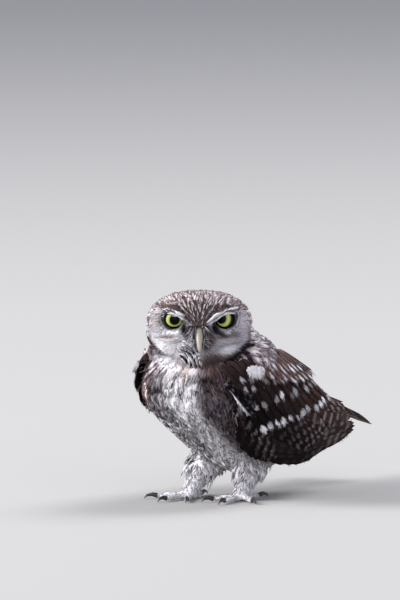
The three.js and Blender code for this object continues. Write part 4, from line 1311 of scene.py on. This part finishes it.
# %% Both wings
BLUNT_KINDS, BLUNT, POINTED = ("primary", "secondary", "scapular"), 0.72, 0.55
WING_BARBS, WING_BARB_LENGTH, WING_BARB_WIDTH = 9000, 2.4, 0.34
MAP_COLUMNS = 10  # the vanes' places on the wing's own unwrap
TUFT_BLADES, TUFT_HALF, TUFT_LENGTH, TUFT_WIDTH = 260, (6.2, 2.2), 4.6, 0.8


def map_places(number, columns):
    """Patches in rows, for vanes that have a map of their own."""
    n = np.arange(number)
    return np.stack([(n % columns + 0.5) / columns, (n // columns + 0.5) / columns], -1)


def wing(name, side, fold):
    stack = []
    for kind, number, width, bow, lift, sunk, roots, tips_s, tips_h in tiers(fold):
        tip_s, tip_h = through(*tips_s), through(*tips_h)
        blunt = BLUNT if kind in BLUNT_KINDS else POINTED
        for i in range(number):
            k = i / (number - 1)
            tip = (float(tip_s(k)) + rng.normal(0, 1.4), float(tip_h(k)) + rng.normal(0, 0.5))
            top, under, across, along, low, ahead, up = wing_vane(
                between(*roots, k), tip, width, bow, lift, sunk, blunt)
            colours = wing_colours(kind, i, number, across, along, low, width)
            stack.append((top, under, across, along, colours, ahead, up))
    top, under, across, along, colours, ahead, up = (np.stack(a) for a in zip(*stack))
    if side < 0:
        top, under, ahead, up = (a * (-1, 1, 1) for a in (top, under, ahead, up))
        top, across, along, colours = (a[:, :, ::-1] for a in (top, across, along, colours))
    patch_at = map_places(len(top), MAP_COLUMNS)
    vanes = leaves(f"{name}_feathers", top, under, colours, across, along, patch_at)
    feathers = (top, colours, ahead, up, patch_at)
    return vanes, frayed(f"{name}_barbs", feathers, WING_BARBS, WING_BARB_LENGTH, WING_BARB_WIDTH, 0.08, 0.8)


def white_tuft(name, side, middle_s, middle_h):
    """Loose white feathers of the shoulder, which spill over the coverts."""
    n = TUFT_BLADES
    turn, out = spread(0, 2 * math.pi, n), rng.random(n) ** 0.75
    a, b = TUFT_HALF[0] * out * np.cos(turn), TUFT_HALF[1] * out * np.sin(turn)
    s, h = middle_s + a, middle_h + 0.38 * a + b
    place, up, step_s, step_turn = cover_frame(s, turn_at(s, h))
    down = unit(unit(step_turn) + (0.25 + rng.normal(0, 0.55, (n, 1))) * unit(step_s))
    place = place + up * spread(2.0, 3.4, (n, 1))
    place, up, down = (a * (side, 1, 1) for a in (place, up, down))
    shade = mix(PALE, WHITE, 0.7 + 0.3 * rng.random(n))
    length = vary(TUFT_LENGTH, n, 0.6) * (1 - 0.45 * out)
    return blades(name, place, unit(down + 0.12 * up), up, length, vary(TUFT_WIDTH, n, 0.3), -up * 0.8,
                  np.stack([shade * 0.9, shade, shade], 1), unwrapped(place))


wing_left, wing_left_barbs = wing("wing_left", 1, 0.0)
wing_right, wing_right_barbs = wing("wing_right", -1, 1.0)
coat += [white_tuft("tuft_left", 1, -49.5, 61.8), white_tuft("tuft_right", -1, -58.0, 57.5)]
print("wing:", len(wing_left.data.polygons), "triangles")

# %% [markdown]
# ## Tail
# Twelve feathers in layers, the middle pair on top, with short coverts over and under their roots.

# %% Tail
TAIL_LAYER, TAIL_HEIGHT, TAIL_RISE = 0.9, 94.5, 7


def tail_vane(rank, layer, root_s, tip_s, spread_out, width, lift=0.0):
    v = np.linspace(0, 1, VANE_ROWS) ** 0.9
    u = np.linspace(-1, 1, VANE_COLS)
    s = root_s + (tip_s - 4 * rank * rank - root_s) * v
    rise = (s - TAIL_START) / (TAIL_END - TAIL_START)
    h = TAIL_HEIGHT + TAIL_RISE * rise - layer * TAIL_LAYER + lift
    x = spread_out * (0.5 + 0.5 * v) * rank
    out = u * (vane_share(v, 0.8) * width / 2)[:, None]
    lateral = x[:, None] + out
    high = h[:, None] - 0.006 * lateral ** 2 + 0.25 * (1 - u * u) + 0.15 * (1 - np.abs(u)) ** 8
    top = at(lateral, s[:, None], high)
    under = at(x, s, high[:, VANE_COLS // 2] - 0.6)
    return top[:, ::-1], under, out[:, ::-1], (v * (tip_s - root_s))[:, None] + 0.001 + 0 * out


stack = []
for i in range(12):
    rank = 2 * i / 11 - 1
    top, under, across, along = tail_vane(rank, abs(i - 5.75), 74, 120, 13.5, 11.5)
    bar = ramp(np.cos((along - 6 - 0.3 * np.abs(across)) / 9.5 * 2 * math.pi), 0.4, 0.85)
    colours = mix(mix(DARK, BROWN, 0.5 + 0 * along), mix(BUFF, PALE, 0.4), bar * 0.85)
    stack.append((top, under, across, along, colours))
for i in range(7):
    away = abs(i - 3)
    top, under, across, along = tail_vane(i / 3 - 1, away * 0.5 - 2, 71, 97 - 2.5 * away, 9.5, 9)
    spot = bell((np.abs(across) - 2.4) / 1.4) * bell((along - 0.7 * along.max()) / 3)
    stack.append((top, under, across, along, mix(BROWN, PALE, spot * 0.8)))
for i in range(7):
    away = abs(i - 3)
    top, under, across, along = tail_vane(i / 3 - 1, 6.5 - away * 0.4, 68, 100 - 3 * away, 9.5, 10, -1.5)
    stack.append((top, under, across, along, mix(PALE, WHITE, 0.7 + 0 * along)))
top, under, across, along, colours = (np.stack(a) for a in zip(*stack))
tail = leaves("tail_feathers", top, under, colours, across, along, map_places(len(top), 6))
print("tail:", len(tail.data.polygons), "triangles")

# %% [markdown]
# ## Eyes
# An owl's eye is a fixed tube with a strongly bowed cornea. Here it is one globe with a bulge in front,
# a pale yellow iris round a wide pupil. The lids are a thin sheet over the globe with an almond opening,
# flat above under the brow, and their bare rim is black.

# %% Eyes
EYE_RADIUS = 7.2
CORNEA_RISE, CORNEA_REACH = 0.7, 5.6
LID_SAMPLES, LID_REACH = 72, 6.9
LID_BLADES, LID_BLADE_LENGTH, LID_BLADE_WIDTH = 520, 1.9, 0.42


def eye_middle(side_name):
    low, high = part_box(f"eye_{side_name}")
    return np.array((low + high) / 2) / MM - SHIFT


def cornea(reach):
    """How far the eye's surface lies before its middle, by the distance from its axis."""
    globe = np.sqrt(np.clip(EYE_RADIUS ** 2 - reach ** 2, 0, None))
    return globe + CORNEA_RISE * (1 - (reach / CORNEA_REACH) ** 2).clip(0)


def eye(side_name):
    bpy.ops.mesh.primitive_uv_sphere_add(segments=64, ring_count=48, radius=1, rotation=(math.pi / 2, 0, 0))
    made = bpy.context.object
    made.name = made.data.name = f"eyeball_{side_name}"
    bpy.ops.object.transform_apply(location=False, rotation=True, scale=True)
    ball = vectors(made.data.vertices, "co") * EYE_RADIUS
    front = ball[:, 1] < 0
    ball[front, 1] = -cornea(np.hypot(ball[front, 0], ball[front, 2]))
    set_points(made, ball @ turned.T + eye_middle(side_name))
    bpy.ops.object.shade_smooth()
    return made


def opening(turn):
    """The almond between the lids: its reach from the pupil, by the turn from the outer corner up."""
    c, d = np.cos(turn), np.sin(turn)
    down = 1 / np.hypot(c / 4.8, d / 4.2)
    flat = 3.3 / np.maximum(d, 1e-3)
    slanted = 3.9 / np.maximum(d - 0.72 * c, 1e-3)
    return (down ** -8 + flat ** -8 + slanted ** -8) ** (-1 / 8)


def lid(side_name, side):
    """Both lids as one sheet over the globe, from the rim of the opening to its outer edge."""
    turn = np.linspace(0, 2 * math.pi, LID_SAMPLES, endpoint=False)
    inner = opening(turn)
    rings = [(inner + 0.1, -0.3), (inner - 0.12, 0.12), (inner, 0.42), (inner + 0.35, 0.55)]
    rings += [(inner + 0.35 + (LID_REACH - inner - 0.35) * k, 0.5 - 0.3 * k) for k in (0.25, 0.5, 0.75, 1)]
    rings += [(np.full_like(inner, LID_REACH), -0.6)]
    grid = np.array([np.stack([side * r * np.cos(turn), -(cornea(r) + out), r * np.sin(turn)], -1)
                     for r, out in rings])
    numbers = np.arange(len(rings) * LID_SAMPLES).reshape(-1, LID_SAMPLES)
    faces = []
    for ring, following in zip(numbers, np.roll(numbers, -1, 0)):
        for i in range(LID_SAMPLES):
            k = (i + 1) % LID_SAMPLES
            faces += [(ring[i], ring[k], following[k]), (ring[i], following[k], following[i])]
    faces = np.array(faces)[:, ::side]
    places = grid.reshape(-1, 3) @ turned.T + eye_middle(side_name)
    away = np.concatenate([r - inner for r, _ in rings])
    shade = mix(BLACKISH * 0.3, face_colour(in_head(places)) * 0.7, ramp(away, 1.0, 1.9))
    flat = np.stack([grid[..., 0], grid[..., 2] + 20], -1).reshape(-1, 2)
    return mesh_of(f"lid_{side_name}", places, faces, shade, flat, unwrapped(places))


def lid_down(side_name, side):
    """The down on the lids: short blades that point away from the opening."""
    n, turn = LID_BLADES, np.linspace(0, 2 * math.pi, LID_BLADES, endpoint=False)
    reach = opening(turn) + 1.3 + rng.random(n) * 1.8
    local = np.stack([side * reach * np.cos(turn), -(cornea(reach) + 0.5), reach * np.sin(turn)], -1)
    up = unit(local)
    way = unit(np.stack([side * np.cos(turn), 0.25 + 0 * turn, np.sin(turn)], -1))
    way, up = combed(way, up, 0.12) @ turned.T, up @ turned.T
    roots = local @ turned.T + eye_middle(side_name)
    tint = mix(face_colour(in_head(roots)), DARK, 0.7 * (1 - ramp(reach - opening(turn), 1.4, 2.6)))
    length, width = vary(LID_BLADE_LENGTH, n, 0.3), vary(LID_BLADE_WIDTH, n)
    return blades(f"lid_down_{side_name}", roots, way, up, length, width, -up * 0.3,
                  np.stack([tint] * 3, 1), unwrapped(roots))


eyes = {name: eye(name) for name in ("left", "right")}
lids = {}
for side_name, side in (("left", 1), ("right", -1)):
    lids[side_name] = lid(side_name, side)
    coat.append(lid_down(side_name, side))
print("eyes:", 2 * EYE_RADIUS, "mm across")

# %% [markdown]
# ## Bill and claws
# The horn is smooth, so copies of the solids are merged, remeshed finely and smoothed, and the light runs
# over them without facets. The bill is a little slimmer than its solid, which also stands for the sheath
# of bristles round it.

# %% Bill and claws
HORN_VOXEL = 0.22
BILL_SLIMNESS = 0.95
CLAW_NODES = {side: [f"claw_{side}_{toe}" for toe in ("inner", "middle", "outer", "hind")]
              for side in ("left", "right")}


def smoothed(name, nodes):
    made = copies_joined(name, nodes)
    apply_modifier(made, "REMESH", mode="VOXEL", voxel_size=HORN_VOXEL * MM, use_smooth_shade=True)
    apply_modifier(made, "SMOOTH", factor=0.5, iterations=4)
    only(made)
    bpy.ops.object.shade_smooth()
    return made


def slimmed(obj):
    q = in_head(own(obj))
    set_points(obj, from_head(q * (BILL_SLIMNESS, 1, 1)))
    return obj


bill = slimmed(smoothed("bill", ["bill_upper"]))
bill_under = slimmed(smoothed("bill_under", ["bill_lower"]))
claws = {side_name: smoothed(f"claws_{side_name}", nodes) for side_name, nodes in CLAW_NODES.items()}
for side_name, made in claws.items():
    print("claws", side_name, len(made.data.polygons), "faces")

# %% [markdown]
# ## Finishes
# Every finish starts from the plain shader and is fed by a few nodes. Noise gives the grain, and a bump
# from the same noise makes the light follow it.

# %% Finishes
def finish(name, **sockets):
    """A new material, and its shader with the values that are the same all over."""
    made = bpy.data.materials.new(name)
    made.use_nodes = True
    shader = made.node_tree.nodes["Principled BSDF"]
    feed(made, shader, {key.replace("_", " "): value for key, value in sockets.items()})
    return made, shader


def feed(material, node, inputs):
    """Gives each input of a node its value, or a link where another node's output is given."""
    for key, value in inputs.items():
        if isinstance(value, bpy.types.NodeSocket):
            material.node_tree.links.new(value, node.inputs[key])
        else:
            node.inputs[key].default_value = value


def add(material, kind, inputs=None, **settings):
    """One node with its settings and inputs."""
    node = material.node_tree.nodes.new(kind)
    for key, value in settings.items():
        setattr(node, key, value)
    feed(material, node, inputs or {})
    return node


def colour4(code):
    return (*linear(code), 1)


# %% [markdown]
# ## Feathers
# Feather keratin is dry and matt, with no glint, and takes its life from its fine barbs, which slant
# forwards from the shaft. Real barbs stand about a tenth of a millimetre apart, too fine to show from
# here, so they are drawn about eight times as coarse. The pattern is laid out by each feather's own
# measure, across and along its shaft.

# %% Feathers
BARB_PITCH = (1.3, 0.14, 1)  # cycles a millimetre across the barbs and along them
BARB_SLANT = -1.1  # how far a barb runs forwards for each millimetre outwards


def feather_finish():
    made, shader = finish("feather keratin", Roughness=0.85, Specular_IOR_Level=0.05)
    paint = add(made, "ShaderNodeAttribute", attribute_name="Plumage")
    vane = add(made, "ShaderNodeUVMap", uv_map="Vane")
    split = add(made, "ShaderNodeSeparateXYZ", {0: vane.outputs[0]})
    away = add(made, "ShaderNodeMath", {0: split.outputs[0]}, operation="ABSOLUTE")
    slant = add(made, "ShaderNodeMath", {0: away.outputs[0], 1: BARB_SLANT}, operation="MULTIPLY")
    along = add(made, "ShaderNodeMath", {0: split.outputs[1], 1: slant.outputs[0]}, operation="ADD")
    where = add(made, "ShaderNodeCombineXYZ", {0: along.outputs[0], 1: split.outputs[0]})
    stretch = add(made, "ShaderNodeMapping", {0: where.outputs[0], "Scale": BARB_PITCH})
    barbs = add(made, "ShaderNodeTexNoise", {"Vector": stretch.outputs[0], "Scale": 1.0, "Detail": 3.0})
    shade = add(made, "ShaderNodeMapRange",
                {"Value": barbs.outputs[0], "From Min": 0.3, "From Max": 0.7, "To Min": 0.8, "To Max": 1.12})
    grey = add(made, "ShaderNodeCombineColor", {i: shade.outputs[0] for i in range(3)})
    shaded = add(made, "ShaderNodeMix", data_type="RGBA", blend_type="MULTIPLY")
    feed(made, shaded, {0: 1.0, 6: paint.outputs["Color"], 7: grey.outputs[0]})
    bump = add(made, "ShaderNodeBump", {"Height": barbs.outputs[0], "Strength": 0.35, "Distance": 0.0004})
    feed(made, shader, {"Base Color": shaded.outputs[2], "Normal": bump.outputs[0]})
    return made


feather_keratin = feather_finish()
print(feather_keratin.name, "with", len(feather_keratin.node_tree.nodes), "nodes")

# %% [markdown]
# ## Skin
# Skin shows only in gaps between feathers and on the toes, where it is hidden by short down. That leaves
# the eye a soft, matt, slightly rough ground in the feathers' colours.

# %% Skin
def skin_finish():
    made, shader = finish("skin under down", Roughness=0.85)
    paint = add(made, "ShaderNodeAttribute", attribute_name="Plumage")
    place = add(made, "ShaderNodeTexCoord").outputs["Object"]
    fluff = add(made, "ShaderNodeTexNoise", {"Vector": place, "Scale": 900.0, "Detail": 3.0})
    bump = add(made, "ShaderNodeBump", {"Height": fluff.outputs[0], "Strength": 0.5, "Distance": 0.0006})
    feed(made, shader, {"Base Color": paint.outputs["Color"], "Normal": bump.outputs[0]})
    return made


# %% [markdown]
# ## The eye's finish
# The cornea is wet and clear, so it gives one small sharp glint. Below it the iris is greenish yellow with
# a dark rim, and fine fibres make the rings' edges a little uneven.

# %% The eye's finish
GAZE = {"left": (-0.28, -1.0, 0.08), "right": (0.05, -1.0, -0.02)}
IRIS_RINGS = [
    # share of the eye's radius from the axis, and colour
    (0.0, "#010102"), (0.39, "#010102"), (0.42, "#5f6430"), (0.465, "#979e50"), (0.6, "#b9c070"),
    (0.69, "#9aa052"), (0.76, "#23201c"), (1.0, "#15110f"),
]
UNEVENNESS = 0.0003


def eye_finish(side_name):
    """Pupil and iris by the distance from the line of sight through the eye's middle."""
    made, shader = finish(f"cornea over iris {side_name}", Roughness=0.05, Specular_IOR_Level=0.12, IOR=1.38)
    middle, gaze = (eye_middle(side_name) + SHIFT) * MM, turned @ unit(np.array(GAZE[side_name]))
    place = add(made, "ShaderNodeTexCoord").outputs["Object"]
    centred = add(made, "ShaderNodeVectorMath", {0: place, 1: middle}, operation="SUBTRACT")
    across = add(made, "ShaderNodeVectorMath", {0: centred.outputs[0], 1: gaze}, operation="CROSS_PRODUCT")
    reach = add(made, "ShaderNodeVectorMath", {0: across.outputs[0]}, operation="LENGTH")
    fibres = add(made, "ShaderNodeTexNoise", {"Vector": place, "Scale": 1400.0, "Detail": 2.0})
    uneven = add(made, "ShaderNodeMath",
                 {0: fibres.outputs[0], 1: UNEVENNESS, 2: reach.outputs["Value"]}, operation="MULTIPLY_ADD")
    share = add(made, "ShaderNodeMath",
                {0: uneven.outputs[0], 1: 1 / (EYE_RADIUS * MM)}, operation="MULTIPLY")
    rings = add(made, "ShaderNodeValToRGB", {0: share.outputs[0]})
    for i, (position, code) in enumerate(IRIS_RINGS):
        stops = rings.color_ramp.elements
        stop = stops[i] if i < 2 else stops.new(position)
        stop.position = position
        stop.color = colour4(code)
    feed(made, shader, {"Base Color": rings.outputs[0]})
    return made


# %% [markdown]
# ## Horn
# Bill and claws are horn, worn smooth by use: they take a soft, broad highlight. The bill is pale, and the
# claws are dark and darker still towards the floor.

# %% Horn
def horn_finish(name, base, tip, low, high, roughness):
    """Horn that changes colour from base to tip, by height in its own place."""
    made, shader = finish(name, Roughness=roughness, IOR=1.54)
    place = add(made, "ShaderNodeTexCoord").outputs["Object"]
    split = add(made, "ShaderNodeSeparateXYZ", {0: place})
    grain = add(made, "ShaderNodeTexNoise", {"Vector": place, "Scale": 1200.0, "Detail": 3.0})
    height = add(made, "ShaderNodeMapRange", {"Value": split.outputs[2], "From Min": low, "From Max": high})
    blend = add(made, "ShaderNodeMix", data_type="RGBA")
    feed(made, blend, {0: height.outputs[0], 6: colour4(tip), 7: colour4(base)})
    bump = add(made, "ShaderNodeBump", {"Height": grain.outputs[0], "Strength": 0.2, "Distance": 0.0002})
    feed(made, shader, {"Base Color": blend.outputs[2], "Normal": bump.outputs[0]})
    return made


bill_low, bill_high = (corner.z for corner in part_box("bill_upper"))
bill_horn = horn_finish("bill horn", "#807b6d", "#b0aa98", bill_low, bill_high, 0.35)
claw_horn = horn_finish("claw horn", "#3a3230", "#171313", 0.0, 0.004, 0.3)


def wear(obj, material):
    obj.data.materials.clear()
    obj.data.materials.append(material)


for piece in (*coat, wing_left, wing_right, wing_left_barbs, wing_right_barbs, tail, *lids.values()):
    wear(piece, feather_keratin)
wear(skin, skin_finish())
for side_name in ("left", "right"):
    wear(eyes[side_name], eye_finish(side_name))
    wear(claws[side_name], claw_horn)
wear(bill, bill_horn)
wear(bill_under, bill_horn)

# %% [markdown]
# ## Floor and light
# A pale floor and three broad soft lamps, like an overcast sky: the brightest from the owl's right, a
# large dim one that opens the shadows, and one from behind that draws the outline.

# %% Floor and light
FLOOR_RADIUS = 20
LAMPS_AIM = Vector((0, 0, 0.08))
bpy.ops.mesh.primitive_circle_add(vertices=96, radius=FLOOR_RADIUS, fill_type="NGON", location=(0, 0, 0))
floor = bpy.context.object
floor.name = "floor"
floor_paper, _ = finish("floor paper", Base_Color=colour4("#a5a3a1"), Roughness=0.9)
wear(floor, floor_paper)


def lamp(name, place, size, power):
    bpy.ops.object.light_add(type="AREA", location=place)
    made = bpy.context.object
    made.name = name
    made.data.size = size
    made.data.energy = power
    made.rotation_euler = (LAMPS_AIM - Vector(place)).to_track_quat("-Z", "Y").to_euler()


lamp("window", (-3.1, -2.4, 2.4), 2.4, 320)
lamp("fill", (2.6, -2.8, 0.9), 4.5, 96)
lamp("back", (0.6, 2.4, 3.4), 2.0, 130)
world = bpy.data.worlds.new("room")
bpy.context.scene.world = world
world.use_nodes = True
sky = world.node_tree.nodes["Background"]
sky.inputs["Color"].default_value = colour4("#d0d5e6")
sky.inputs["Strength"].default_value = 0.76
bpy.context.scene.view_settings.view_transform = "Standard"  # the plain curve, as a camera's picture has

# %% [markdown]
# ## Putting it together
# Every piece rides on the owl's one body, and the solids that they stand for are hidden.

# %% Putting it together
wings = (wing_left, wing_right, wing_left_barbs, wing_right_barbs)
for piece in (skin, *coat, *wings, tail, *eyes.values(), *lids.values(), *claws.values(), bill, bill_under):
    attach(piece, "root")
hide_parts(*FLESH_NODES)
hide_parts("wing_left")
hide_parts("wing_right")
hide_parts("tail")
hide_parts("bill_upper")
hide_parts("bill_lower")
for side_name in ("left", "right"):
    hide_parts(f"eye_{side_name}")
    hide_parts(*CLAW_NODES[side_name])

shown = [obj for obj in bpy.data.objects if obj.type == "MESH" and not obj.hide_render]
print("triangles:", sum(len(face.vertices) - 2 for obj in shown for face in obj.data.polygons))
